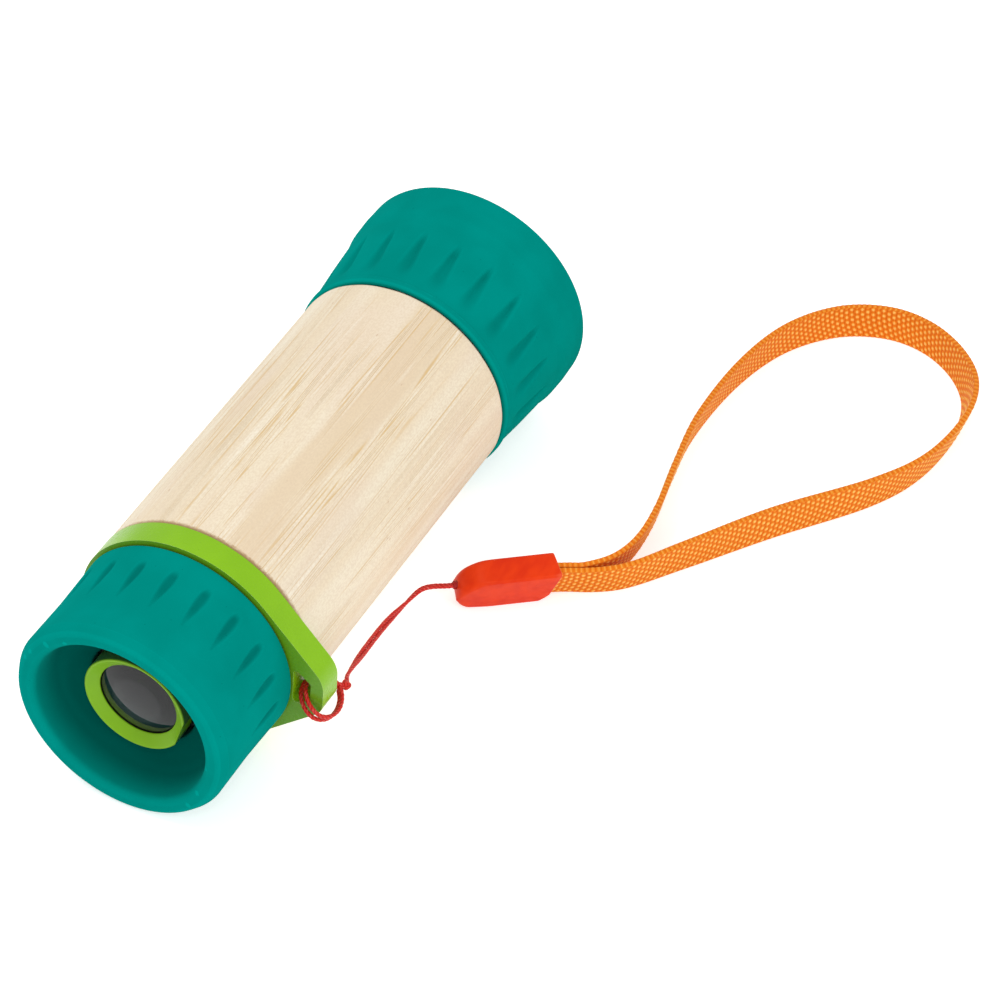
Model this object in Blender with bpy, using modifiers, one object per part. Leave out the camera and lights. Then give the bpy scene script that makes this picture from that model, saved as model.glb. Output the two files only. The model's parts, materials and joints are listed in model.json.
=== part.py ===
"""Bamboo kaleidoscope: a tube with an eyepiece, three mirrors, a turning bead chamber and a wrist strap.

The optical axis is Y: the eyepiece looks out at -Y and the bead chamber is at the +Y end. The origin is
the centre of the outer window's flat face. The toy lies on its side, as on a table, with +Z up and the
strap lug towards +X. Every dimension below is in millimetres; the helpers turn them into metres.
"""

import math

import bmesh
import bpy
from mathutils import Matrix, Vector

MM = 0.001
GAP = 0.3  # between neighbouring pieces
SMALL_EDGE = 0.4  # the usual softened edge

# Tube and the fixed core that carries the eyepiece
TUBE_R = 21.0
TUBE_BORE_R = 17.0
TUBE_NEAR_Y = -95.65
TUBE_FAR_Y = -26.94
TUBE_EDGE = 0.6
CORE_R = TUBE_BORE_R - GAP
CORE_NEAR_Y = -113.5
CORE_FAR_Y = -86.0
CORE_CAVITY_R = 14.8
CORE_WALL = 4.0

# Strap ring, trapped between the eyecup and the tube
RING_R = 21.1
RING_NEAR_Y = -101.65
RING_FAR_Y = TUBE_NEAR_Y - GAP
RING_EDGE = 0.8
LUG_ANGLE = math.radians(-4.0)  # direction of the lug from +X towards +Z
LUG_SPREAD = math.radians(45.0)  # where its straight sides leave the ring, either side of that
LUG_REACH = 26.3
LUG_BAR = 2.4
LUG_HOLE_INNER = 20.5
LUG_HOLE_HALF_OUTER = 1.9
LUG_HOLE_HALF_INNER = 4.4
LUG_NOSE_FILLET = 1.8
LUG_HOLE_FILLET = 0.7

# Eyecup and eyepiece
CUP_EDGE_Y = RING_NEAR_Y - GAP
CUP_RIM_Y = -124.6
CUP_EDGE_R = 20.5
CUP_RIM_R = 20.35
CUP_LIP_R = 16.1
CUP_FLOOR_Y = -116.3
CUP_BACK_Y = CORE_NEAR_Y - GAP
CUP_WAIST = 0.15  # how far its side draws in between edge and rim
CUP_BOWL_TAPER = 1.0
CUP_BOWL_FILLET = 4.5
BEZEL_R = 9.72
BEZEL_LIP = 0.9
CUP_HOLE_R = BEZEL_R + 0.5
BEZEL_FACE_Y = -119.6
BEZEL_NECK_R = 8.3
BEZEL_OPENING_R = 7.46
LENS_R = 7.9
LENS_EDGE_NEAR_Y = -118.2
LENS_EDGE = 1.2
LENS_SAG = 1.5
LENS_SEAT_R = LENS_R + GAP
LENS_SEAT_FAR_Y = -114.6
CLIP_BORE_R = 6.6

# Mirror prism
MIRROR_INRADIUS = 6.6
MIRROR_HALF_WIDTH = 11.1
MIRROR_THICKNESS = 1.5
MIRROR_NEAR_Y = -103.0
MIRROR_FAR_Y = -14.5
PAD_WIDTH = 8.0
PAD_REACH = 16.1
PEEPHOLE_R = 5.5
EYE_STOP_THICKNESS = 1.0
MASK_THICKNESS = 0.8
MASK_OVERHANG = 0.4  # how far its window stands inside the mirrors' faces

# Fixed bearing in the far end of the tube
BUSH_NEAR_Y = -42.0
BUSH_FAR_Y = -13.0
BUSH_BORE_R = 14.2
JOURNAL_R = 15.6
JOURNAL_FAR_Y = -15.2
NECK_R = 15.1
KEEPER_R = 16.7
KEEPER_NEAR_Y = -14.9
KEEPER_FAR_Y = -13.4
WASHER_THICKNESS = 0.6

# Turning bead chamber
HOUSING_R = 19.9
HOUSING_FAR_Y = -0.3
HOUSING_NEAR_Y = TUBE_FAR_Y + GAP + WASHER_THICKNESS + GAP
RECESS_NEAR_Y = JOURNAL_FAR_Y
RECESS_R = KEEPER_R + GAP
CHAMBER_SEAT_R = 17.9
CHAMBER_SEAT_Y = -12.1
CHAMBER_R = 16.2
WINDOW_R = CHAMBER_SEAT_R - GAP
INNER_WINDOW_Y = (-11.8, -10.3)
SPACER_Y = (-10.0, -3.6)
OUTER_WINDOW_NEAR_Y = -3.3
OUTER_WINDOW_STEP_Y = -1.9
OUTER_WINDOW_BOSS_R = 15.6
WINDOW_RING_Y = (-1.6, 0.6)

# Grip cap pulled over the chamber
CAP_NEAR_Y = TUBE_FAR_Y + GAP
CAP_FAR_Y = 1.2
CAP_NEAR_R = 21.3
CAP_MID_R = 21.9
CAP_STEP_Y = -9.6
CAP_FAR_R = 23.1
CAP_LIP_R = 18.3

# Loose beads, resting at the bottom of the chamber
BEAD_Y = 0.5 * (INNER_WINDOW_Y[1] + OUTER_WINDOW_NEAR_Y)
BEAD_OUTER_ROW = 13.0
BEAD_OUTER_SPACING = math.radians(27.0)
BEAD_INNER_ROW = 7.6
BEAD_INNER_SPREAD = math.radians(55.0)
BUGLE_LENGTH = 6.4
BUGLE_R = 1.3

# Table the toy lies on: it touches the eyecup's rim and the grip cap's rim
TABLE_NEAR_Y = -122.3
TABLE_FAR_Y = -3.5
TABLE_TILT = math.atan2(CAP_FAR_R - CUP_RIM_R, TABLE_FAR_Y - TABLE_NEAR_Y)

# Cord hitch on the lug
CORD_R = 0.38
HITCH_CENTRE = Vector((24.5, -98.8, -5.4))
HITCH_R = 4.2
HITCH_LEAN = math.radians(38.5)  # how far its plane drops towards +X
HITCH_PITCH = 0.9
HITCH_TURNS = 2
KNOT_R = 0.85
KNOT_REACH = 5.75
KNOT_ANGLE = math.radians(16.3)  # from +Y, in the hitch's plane

# Sleeve that joins the cord to the webbing
SLEEVE_LENGTH = 18.8
SLEEVE_HEIGHT = 8.6
SLEEVE_THICKNESS = 4.6
SLEEVE_LEAN = math.radians(17.0)
SLEEVE_RISE = 0.25  # keeps its leaning lower edge above the table
SLEEVE_START = Vector((25.3, -53.7))
SLEEVE_HEADING = math.radians(37.7)
SLEEVE_MOUTH = -1.0  # where the cord bends, ahead of the nose
SLEEVE_CAVITY_START = 5.5
SLEEVE_NOSE_FILLET = 2.6
SLEEVE_SLANT = 4.2  # how far the open end's lowest corner stands back
SLEEVE_SLANT_MIDDLE = 2.1
SLEEVE_SLANT_RISE = 1.1
SLEEVE_EDGE = 0.7
SLEEVE_HOLE_R = 1.1
STEM_R = 0.75
STOP_KNOT_R = 1.35

# Webbing
WEBBING_WIDTH = 7.0
WEBBING_THICKNESS = 1.2
WEBBING_HINGE = SLEEVE_LENGTH + 0.6

ROUND_STEPS = 40
SMALL_STEPS = 28
ARC_STEP_PER_RADIUS = 0.6  # a small edge is one chamfer, a large one an arc
MOST_ARC_STEPS = 4


def new_collection(name):
    """A collection linked to the scene."""
    collection = bpy.data.collections.new(name)
    bpy.context.scene.collection.children.link(collection)
    return collection


def clear_scene():
    """Remove what the opened file holds, so that only the toy is left."""
    for old in list(bpy.data.objects):
        bpy.data.objects.remove(old, do_unlink=True)


clear_scene()
PARTS = new_collection("kaleidoscope")
CUTTERS = new_collection("cutters")


def finish_material(name, colour, roughness, metallic=0.0, transmission=0.0):
    """A Principled material."""
    material = bpy.data.materials.new(name)
    material.use_nodes = True
    shader = material.node_tree.nodes["Principled BSDF"]
    shader.inputs["Base Color"].default_value = (*colour, 1.0)
    shader.inputs["Roughness"].default_value = roughness
    shader.inputs["Metallic"].default_value = metallic
    shader.inputs["Transmission Weight"].default_value = transmission
    material.diffuse_color = (*colour, 1.0)
    return material


TEAL_SILICONE = finish_material("teal_silicone", (0.0, 0.235, 0.19), 0.5)
GREEN_PLASTIC = finish_material("green_plastic", (0.26, 0.57, 0.02), 0.3)
BAMBOO = finish_material("bamboo", (0.86, 0.75, 0.53), 0.55)
BLACK_PLASTIC = finish_material("black_plastic", (0.02, 0.02, 0.02), 0.4)
CLEAR_LENS = finish_material("clear_lens", (0.9, 0.92, 0.92), 0.03, transmission=1.0)
CLEAR_PLASTIC = finish_material("clear_plastic", (0.9, 0.93, 0.93), 0.08, transmission=1.0)
FROSTED_PLASTIC = finish_material("frosted_plastic", (0.92, 0.93, 0.9), 0.5, transmission=0.7)
MIRROR = finish_material("mirror", (0.9, 0.9, 0.9), 0.03, metallic=1.0)
FOAM = finish_material("foam", (0.12, 0.12, 0.12), 0.9)
CARD = finish_material("card", (0.03, 0.03, 0.03), 0.85)
FELT = finish_material("felt", (0.35, 0.35, 0.33), 0.95)
RED_CORD = finish_material("red_cord", (0.62, 0.03, 0.025), 0.55)
RED_PLASTIC = finish_material("red_plastic", (0.78, 0.06, 0.02), 0.4)
ORANGE_WEBBING = finish_material("orange_webbing", (0.87, 0.28, 0.03), 0.8)
BEAD_COLOURS = {
    "red": (0.75, 0.03, 0.05),
    "blue": (0.03, 0.14, 0.75),
    "yellow": (0.9, 0.62, 0.03),
    "green": (0.05, 0.5, 0.12),
    "violet": (0.36, 0.06, 0.6),
    "orange": (0.9, 0.27, 0.02),
    "pink": (0.9, 0.2, 0.45),
    "cyan": (0.03, 0.55, 0.7),
    "clear": (0.85, 0.87, 0.9),
}


def bead_material(colour):
    """Tinted clear plastic for a bead."""
    return finish_material(f"bead_{colour}", BEAD_COLOURS[colour], 0.12, transmission=0.6)


def add_object(name, data, material, collection=PARTS):
    """Link a mesh or curve as a named object."""
    data.materials.append(material)
    made = bpy.data.objects.new(name, data)
    collection.objects.link(made)
    return made


def filleted(outline):
    """Outline points (a, b) or (a, b, radius), with an arc at each corner that has a radius."""
    points = []
    count = len(outline)
    for index, entry in enumerate(outline):
        corner = Vector(entry[:2])
        if len(entry) == 2:
            points.append(corner)
            continue
        steps = min(MOST_ARC_STEPS, max(1, round(entry[2] / ARC_STEP_PER_RADIUS)))
        before = Vector(outline[index - 1][:2]) - corner
        after = Vector(outline[(index + 1) % count][:2]) - corner
        before.normalize()
        after.normalize()
        half = 0.5 * before.angle(after)
        centre = corner + (before + after).normalized() * (entry[2] / math.sin(half))
        start = corner + before * (entry[2] / math.tan(half)) - centre
        sweep = start.angle_signed(corner + after * (entry[2] / math.tan(half)) - centre)
        for step in range(steps + 1):
            turn = Matrix.Rotation(-sweep * step / steps, 2)
            points.append(centre + turn @ start)
    return points


def signed_area(points):
    """Twice the area of a closed outline, positive when it runs anticlockwise."""
    pairs = zip(points, points[1:] + points[:1])
    return sum(a.x * b.y - b.x * a.y for a, b in pairs)


def turned(name, outline, material, steps=ROUND_STEPS, solid=False):
    """A body turned about the optical axis from (radius, y) points; a solid one reaches the axis."""
    points = filleted(outline)
    if signed_area(points) > 0.0:
        points.reverse()
    if solid:
        while points[0].x > 0.0 or points[-1].x > 0.0:
            points = points[1:] + points[:1]
    mesh = bpy.data.meshes.new(name)
    verts = [(p.x * MM, 0.0, p.y * MM) for p in points]
    edges = [(i, i + 1) for i in range(len(verts) - 1)]
    if not solid:
        edges.append((len(verts) - 1, 0))
    mesh.from_pydata(verts, edges, [])
    made = add_object(name, mesh, material)
    made.rotation_euler = (math.radians(-90.0), 0.0, 0.0)
    screw = made.modifiers.new("Turn", "SCREW")
    screw.axis = "Z"
    screw.angle = math.tau
    screw.steps = steps
    screw.render_steps = steps
    screw.use_merge_vertices = True
    screw.merge_threshold = 0.01 * MM
    screw.use_smooth_shade = True
    return made


def washer(name, inner, outer, near, far, material):
    """A plain ring."""
    outline = [(outer, far), (outer, near), (inner, near), (inner, far)]
    return turned(name, outline, material, SMALL_STEPS)


def polygon_outline(sides, radius, start=0.0):
    """A regular polygon, its first corner at the angle start."""
    corners = [start + math.tau * i / sides for i in range(sides)]
    return [(radius * math.cos(a), radius * math.sin(a)) for a in corners]


def plate(name, outlines, thickness, material):
    """A flat piece in its local XY plane; the first outline is the outside and the rest are holes."""
    curve = bpy.data.curves.new(name, "CURVE")
    curve.dimensions = "2D"
    curve.fill_mode = "BOTH"
    curve.extrude = 0.5 * thickness * MM
    for outline in outlines:
        spline = curve.splines.new("POLY")
        spline.points.add(len(outline) - 1)
        for point, target in zip(outline, spline.points):
            target.co = (point[0] * MM, point[1] * MM, 0.0, 1.0)
        spline.use_cyclic_u = True
    return as_mesh(add_object(name, curve, material))


def as_mesh(source):
    """Replace a curve object with a welded mesh object of the same name and place."""
    bpy.context.view_layer.update()
    evaluated = source.evaluated_get(bpy.context.evaluated_depsgraph_get())
    mesh = bpy.data.meshes.new_from_object(evaluated)
    name = source.name
    place = source.matrix_world.copy()
    bpy.data.objects.remove(source, do_unlink=True)
    welded = bmesh.new()
    welded.from_mesh(mesh)
    bmesh.ops.remove_doubles(welded, verts=welded.verts, dist=0.001 * MM)
    bmesh.ops.recalc_face_normals(welded, faces=welded.faces)
    welded.to_mesh(mesh)
    welded.free()
    made = bpy.data.objects.new(name, mesh)
    PARTS.objects.link(made)
    made.matrix_world = place
    return made


def box(name, size, material, collection=PARTS):
    """A box centred on its own origin."""
    mesh = bpy.data.meshes.new(name)
    shape = bmesh.new()
    bmesh.ops.create_cube(shape, size=1.0)
    bmesh.ops.scale(shape, vec=Vector(size) * MM, verts=shape.verts)
    shape.to_mesh(mesh)
    shape.free()
    return add_object(name, mesh, material, collection)


def ball(name, radius, material, squash=1.0):
    """A round bead or knot centred on its own origin, flattened along its Z by squash."""
    mesh = bpy.data.meshes.new(name)
    shape = bmesh.new()
    bmesh.ops.create_uvsphere(shape, u_segments=12, v_segments=8, radius=radius * MM)
    bmesh.ops.scale(shape, vec=(1.0, 1.0, squash), verts=shape.verts)
    shape.to_mesh(mesh)
    shape.free()
    mesh.shade_smooth()
    return add_object(name, mesh, material)


def rod(name, length, radius, material, collection=PARTS, steps=SMALL_STEPS):
    """A cylinder along its own Z."""
    mesh = bpy.data.meshes.new(name)
    shape = bmesh.new()
    bmesh.ops.create_cone(
        shape, cap_ends=True, segments=steps, radius1=radius * MM, radius2=radius * MM, depth=length * MM
    )
    shape.to_mesh(mesh)
    shape.free()
    return add_object(name, mesh, material, collection)


def cord_tube(name, points, radius, material):
    """A cord along world points, closed at both ends."""
    curve = bpy.data.curves.new(name, "CURVE")
    curve.dimensions = "3D"
    curve.bevel_depth = radius * MM
    curve.bevel_resolution = 2
    curve.use_fill_caps = True
    spline = curve.splines.new("POLY")
    spline.points.add(len(points) - 1)
    for point, target in zip(points, spline.points):
        target.co = (*(point * MM), 1.0)
    return as_mesh(add_object(name, curve, material))


def bevelled(made, width, segments=1):
    """Round a piece's sharp edges."""
    bevel = made.modifiers.new("Edges", "BEVEL")
    bevel.width = width * MM
    bevel.segments = segments
    bevel.limit_method = "ANGLE"
    bevel.angle_limit = math.radians(50.0)
    return made


def cut(made, cutter):
    """Take a cutter out of a piece."""
    cutter.hide_render = True
    cutter.display_type = "WIRE"
    boolean = made.modifiers.new("Cut", "BOOLEAN")
    boolean.operation = "DIFFERENCE"
    boolean.object = cutter
    return made


def pivot(name, place, parent=None):
    """An empty on a joint's axis."""
    empty = bpy.data.objects.new(name, None)
    empty.empty_display_size = 5.0 * MM
    PARTS.objects.link(empty)
    empty.matrix_world = Matrix.Translation(Vector(place) * MM)
    if parent is not None:
        hang(empty, parent)
    return empty


def hang(made, parent):
    """Parent a piece and keep its place in the world."""
    bpy.context.view_layer.update()
    place = made.matrix_world.copy()
    made.parent = parent
    made.matrix_parent_inverse = parent.matrix_world.inverted()
    made.matrix_world = place


def smooth_path(waypoints, spacing):
    """Points about one spacing apart on a smooth curve through the waypoints (Catmull-Rom)."""
    ends = [2 * waypoints[0] - waypoints[1]] + list(waypoints) + [2 * waypoints[-1] - waypoints[-2]]
    path = []
    for p0, p1, p2, p3 in zip(ends, ends[1:], ends[2:], ends[3:]):
        steps = max(1, round((p2 - p1).length / spacing))
        for step in range(steps):
            t = step / steps
            path.append(
                0.5 * (2 * p1 + (p2 - p0) * t + (2 * p0 - 5 * p1 + 4 * p2 - p3) * t**2
                       + (3 * p1 - p0 - 3 * p2 + p3) * t**3)
            )
    path.append(waypoints[-1].copy())
    return path


# --- Frames the strap is laid out in ---------------------------------------------------------------

TABLE = Matrix.Translation((0.0, TABLE_NEAR_Y, -CUP_RIM_R)) @ Matrix.Rotation(-TABLE_TILT, 4, "X")


def on_table(x, y, height=0.0):
    """World point above the table plane, from x and y on it."""
    return TABLE @ Vector((x, (y - TABLE_NEAR_Y) / math.cos(TABLE_TILT), height))


def sleeve_frame():
    """The sleeve's own frame: X along it from its nose, Y across its thickness, Z up its height."""
    turn = Matrix.Rotation(SLEEVE_HEADING, 4, "Z") @ Matrix.Rotation(SLEEVE_LEAN, 4, "X")
    start = on_table(SLEEVE_START.x, SLEEVE_START.y, 0.5 * SLEEVE_HEIGHT + SLEEVE_RISE)
    return Matrix.Translation(start) @ Matrix.Rotation(-TABLE_TILT, 4, "X") @ turn


SLEEVE = sleeve_frame()


def in_millimetres(frame):
    """A placement matrix whose translation is given in millimetres, for an object in metres."""
    placed = frame.copy()
    placed.translation = frame.translation * MM
    return placed


# --- Tube, core and strap ring ---------------------------------------------------------------------


def bamboo_tube():
    """Plain bamboo tube with softened ends."""
    outline = [
        (TUBE_R, TUBE_FAR_Y, TUBE_EDGE),
        (TUBE_R, TUBE_NEAR_Y, TUBE_EDGE),
        (TUBE_BORE_R, TUBE_NEAR_Y, SMALL_EDGE),
        (TUBE_BORE_R, TUBE_FAR_Y, SMALL_EDGE),
    ]
    return turned("bamboo_tube", outline, BAMBOO)


def eyepiece_core():
    """Hollow plug in the tube's near end, through the strap ring and into the eyecup."""
    wall_y = CORE_NEAR_Y + CORE_WALL
    outline = [
        (CORE_R, CORE_FAR_Y),
        (CORE_R, CORE_NEAR_Y, SMALL_EDGE),
        (BEZEL_NECK_R + GAP, CORE_NEAR_Y),
        (BEZEL_NECK_R + GAP, wall_y),
        (CORE_CAVITY_R, wall_y),
        (CORE_CAVITY_R, CORE_FAR_Y),
    ]
    return turned("eyepiece_core", outline, BLACK_PLASTIC)


def lug_outline():
    """The ring's outside with its pointed lug, in a frame whose X is the lug's direction."""
    leave = LUG_SPREAD
    steps = 40
    points = []
    for step in range(steps + 1):
        angle = leave + (math.tau - 2.0 * leave) * step / steps
        points.append((RING_R * math.cos(angle), RING_R * math.sin(angle)))
    half_nose = (RING_R - LUG_REACH * math.cos(leave)) / math.sin(leave)
    points.append((LUG_REACH, -half_nose, LUG_NOSE_FILLET))
    points.append((LUG_REACH, half_nose, LUG_NOSE_FILLET))
    return filleted(points)


def strap_ring():
    """Ring round the core with the lug that the cord is tied to."""
    hole = [
        (LUG_HOLE_INNER, -LUG_HOLE_HALF_INNER, LUG_HOLE_FILLET),
        (LUG_REACH - LUG_BAR, -LUG_HOLE_HALF_OUTER, LUG_HOLE_FILLET),
        (LUG_REACH - LUG_BAR, LUG_HOLE_HALF_OUTER, LUG_HOLE_FILLET),
        (LUG_HOLE_INNER, LUG_HOLE_HALF_INNER, LUG_HOLE_FILLET),
    ]
    bore = polygon_outline(ROUND_STEPS, TUBE_BORE_R)
    width = RING_FAR_Y - RING_NEAR_Y
    ring = plate("strap_ring", [lug_outline(), bore, filleted(hole)], width, GREEN_PLASTIC)
    ring.matrix_world = (
        Matrix.Translation((0.0, 0.5 * (RING_NEAR_Y + RING_FAR_Y) * MM, 0.0))
        @ Matrix.Rotation(math.radians(90.0), 4, "X")
        @ Matrix.Rotation(LUG_ANGLE, 4, "Z")
    )
    return bevelled(ring, RING_EDGE)


# --- Eyecup and eyepiece ---------------------------------------------------------------------------


def eyecup():
    """Silicone eyecup: a dished front with a hole for the eyepiece, and a skirt over the core."""
    outline = [
        (CUP_EDGE_R, CUP_EDGE_Y, 0.6),
        (CUP_RIM_R - CUP_WAIST, 0.5 * (CUP_EDGE_Y + CUP_RIM_Y)),
        (CUP_RIM_R, TABLE_NEAR_Y),
        (CUP_RIM_R - 0.1, CUP_RIM_Y, 1.7),
        (CUP_LIP_R, CUP_RIM_Y, 1.4),
        (CUP_LIP_R - CUP_BOWL_TAPER, CUP_FLOOR_Y, CUP_BOWL_FILLET),
        (CUP_HOLE_R, CUP_FLOOR_Y, SMALL_EDGE),
        (CUP_HOLE_R, CUP_BACK_Y),
        (TUBE_BORE_R, CUP_BACK_Y),
        (TUBE_BORE_R, CUP_EDGE_Y),
    ]
    return turned("eyecup", outline, TEAL_SILICONE)


def eyepiece_bezel():
    """Green mount that holds the eye lens and plugs into the core."""
    lip_y = BEZEL_FACE_Y + BEZEL_LIP
    outline = [
        (BEZEL_R, CUP_BACK_Y),
        (BEZEL_R, BEZEL_FACE_Y, 0.5),
        (BEZEL_OPENING_R, BEZEL_FACE_Y, SMALL_EDGE),
        (BEZEL_OPENING_R, lip_y),
        (LENS_SEAT_R, lip_y),
        (LENS_SEAT_R, LENS_SEAT_FAR_Y),
        (CLIP_BORE_R, LENS_SEAT_FAR_Y),
        (CLIP_BORE_R, CORE_NEAR_Y + CORE_WALL),
        (BEZEL_NECK_R, CORE_NEAR_Y + CORE_WALL),
        (BEZEL_NECK_R, CUP_BACK_Y),
    ]
    return turned("eyepiece_bezel", outline, GREEN_PLASTIC)


def lens_arc(edge_y, bulge, steps):
    """Points from the axis to the rim of one spherical face of the lens."""
    ball_r = (LENS_R**2 + LENS_SAG**2) / (2.0 * LENS_SAG)
    points = []
    for step in range(steps + 1):
        radius = LENS_R * step / steps
        height = math.sqrt(ball_r**2 - radius**2) - (ball_r - LENS_SAG)
        points.append((radius, edge_y + bulge * height))
    return points


def eye_lens():
    """Double convex eye lens."""
    front = lens_arc(LENS_EDGE_NEAR_Y, -1.0, 4)
    back = lens_arc(LENS_EDGE_NEAR_Y + LENS_EDGE, 1.0, 4)
    return turned("eye_lens", back + front[::-1], CLEAR_LENS, SMALL_STEPS, solid=True)


def lens_clip():
    """Ring that keeps the lens against the bezel's lip."""
    near = LENS_EDGE_NEAR_Y + LENS_EDGE + 0.8
    return washer("lens_clip", CLIP_BORE_R, LENS_R, near, LENS_SEAT_FAR_Y - GAP, BLACK_PLASTIC)


# --- Mirror prism ----------------------------------------------------------------------------------


def round_the_axis(made, turn, reach, y):
    """Place a piece at a distance from the axis, turned about it so that its Z points outwards."""
    spin = Matrix.Rotation(turn, 4, "Y")
    made.matrix_world = spin @ Matrix.Translation(Vector((0.0, y, reach)) * MM)


def mirror_prism():
    """Three mirror strips in a triangle, each with a foam pad that wedges it in the tube."""
    length = MIRROR_FAR_Y - MIRROR_NEAR_Y
    pad_near = CORE_FAR_Y + GAP
    pad_far = BUSH_NEAR_Y - GAP
    pad_inner = MIRROR_INRADIUS + MIRROR_THICKNESS + GAP
    for index, letter in enumerate("abc"):
        turn = math.radians(120.0) * index
        size = (2.0 * MIRROR_HALF_WIDTH, length, MIRROR_THICKNESS)
        strip = box(f"mirror_{letter}", size, MIRROR)
        middle = MIRROR_INRADIUS + 0.5 * MIRROR_THICKNESS
        round_the_axis(strip, turn, middle, 0.5 * (MIRROR_NEAR_Y + MIRROR_FAR_Y))
        pad = box(f"mirror_pad_{letter}", (PAD_WIDTH, pad_far - pad_near, PAD_REACH - pad_inner), FOAM)
        round_the_axis(pad, turn, 0.5 * (pad_inner + PAD_REACH), 0.5 * (pad_near + pad_far))


def eye_stop():
    """Card disc with a peephole at the eye end of the mirrors."""
    far = MIRROR_NEAR_Y - GAP
    return washer("eye_stop", PEEPHOLE_R, CORE_CAVITY_R - GAP, far - EYE_STOP_THICKNESS, far, CARD)


def mirror_mask():
    """Card disc with a triangular window between the mirrors and the chamber."""
    rim = polygon_outline(SMALL_STEPS, BUSH_BORE_R - GAP)
    window = polygon_outline(3, 2.0 * (MIRROR_INRADIUS - MASK_OVERHANG), math.radians(-90.0))
    mask = plate("mirror_mask", [rim, window], MASK_THICKNESS, CARD)
    mask.rotation_euler = (math.radians(90.0), 0.0, 0.0)
    mask.location = (0.0, (MIRROR_FAR_Y + GAP + 0.5 * MASK_THICKNESS) * MM, 0.0)
    return mask


# --- Fixed bearing ---------------------------------------------------------------------------------


def chamber_bush():
    """Spigot in the tube with the journal that the chamber turns on."""
    outline = [
        (NECK_R, BUSH_FAR_Y),
        (NECK_R, JOURNAL_FAR_Y),
        (JOURNAL_R, JOURNAL_FAR_Y),
        (JOURNAL_R, TUBE_FAR_Y),
        (CORE_R, TUBE_FAR_Y),
        (CORE_R, BUSH_NEAR_Y, SMALL_EDGE),
        (BUSH_BORE_R, BUSH_NEAR_Y),
        (BUSH_BORE_R, BUSH_FAR_Y),
    ]
    return turned("chamber_bush", outline, BLACK_PLASTIC)


def bush_keeper():
    """Ring on the bush's neck that stops the chamber sliding off."""
    return washer("bush_keeper", NECK_R + GAP, KEEPER_R, KEEPER_NEAR_Y, KEEPER_FAR_Y, BLACK_PLASTIC)


def slip_washer():
    """Felt washer between the tube's end and the turning housing."""
    near = TUBE_FAR_Y + GAP
    return washer("slip_washer", JOURNAL_R + GAP, HOUSING_R, near, near + WASHER_THICKNESS, FELT)


# --- Turning chamber -------------------------------------------------------------------------------


def chamber_housing():
    """Rigid cup that turns on the journal and holds the windows."""
    outline = [
        (HOUSING_R, HOUSING_FAR_Y, SMALL_EDGE),
        (HOUSING_R, HOUSING_NEAR_Y, SMALL_EDGE),
        (JOURNAL_R + GAP, HOUSING_NEAR_Y),
        (JOURNAL_R + GAP, RECESS_NEAR_Y),
        (RECESS_R, RECESS_NEAR_Y),
        (RECESS_R, CHAMBER_SEAT_Y),
        (CHAMBER_SEAT_R, CHAMBER_SEAT_Y),
        (CHAMBER_SEAT_R, HOUSING_FAR_Y),
    ]
    return turned("chamber_housing", outline, BLACK_PLASTIC)


def inner_window():
    """Clear disc between the mirrors and the beads."""
    near, far = INNER_WINDOW_Y
    outline = [(0.0, far), (WINDOW_R, far), (WINDOW_R, near), (0.0, near)]
    return turned("inner_window", outline, CLEAR_PLASTIC, SMALL_STEPS, solid=True)


def chamber_spacer():
    """Ring that keeps the windows apart."""
    return washer("chamber_spacer", CHAMBER_R, WINDOW_R, SPACER_Y[0], SPACER_Y[1], CLEAR_PLASTIC)


def outer_window():
    """Frosted window with a raised flat face that stands up to the window ring."""
    outline = [
        (0.0, 0.0),
        (OUTER_WINDOW_BOSS_R, 0.0),
        (OUTER_WINDOW_BOSS_R, OUTER_WINDOW_STEP_Y),
        (WINDOW_R, OUTER_WINDOW_STEP_Y),
        (WINDOW_R, OUTER_WINDOW_NEAR_Y),
        (0.0, OUTER_WINDOW_NEAR_Y),
    ]
    return turned("outer_window", outline, FROSTED_PLASTIC, SMALL_STEPS, solid=True)


def window_ring():
    """Ring that locks the outer window into the housing."""
    near, far = WINDOW_RING_Y
    return washer("window_ring", OUTER_WINDOW_BOSS_R + GAP, WINDOW_R, near, far, GREEN_PLASTIC)


def grip_cap():
    """Silicone grip over the housing, flaring to a thick far rim."""
    outline = [
        (CAP_FAR_R - 0.3, CAP_FAR_Y, 0.9),
        (CAP_FAR_R, TABLE_FAR_Y),
        (CAP_FAR_R - 0.15, CAP_STEP_Y + 2.6),
        (CAP_FAR_R - 0.6, CAP_STEP_Y),
        (CAP_MID_R, 0.6 * CAP_STEP_Y + 0.4 * CAP_NEAR_Y),
        (CAP_NEAR_R + 0.1, CAP_NEAR_Y + 3.0),
        (CAP_NEAR_R, CAP_NEAR_Y, 0.5),
        (HOUSING_R + GAP, CAP_NEAR_Y),
        (HOUSING_R + GAP, HOUSING_FAR_Y + GAP),
        (CAP_LIP_R, HOUSING_FAR_Y + GAP),
        (CAP_LIP_R, CAP_FAR_Y, SMALL_EDGE),
    ]
    return turned("grip_cap", outline, TEAL_SILICONE)


# --- Beads -----------------------------------------------------------------------------------------


def star_outline(tips, tip_r, waist_r):
    """A star with the given number of tips."""
    points = []
    for index in range(2 * tips):
        radius = waist_r if index % 2 else tip_r
        angle = math.pi * index / tips
        points.append((radius * math.cos(angle), radius * math.sin(angle)))
    return points


def bugle_bead(name, length, radius, material):
    """A short glass tube along its own Z."""
    bead = rod(name, length, radius, material, steps=12)
    hole = rod(f"{name}_hole", length + 2.0, 0.5 * radius, material, CUTTERS, steps=12)
    cut(bead, hole)
    return bead, hole


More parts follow.
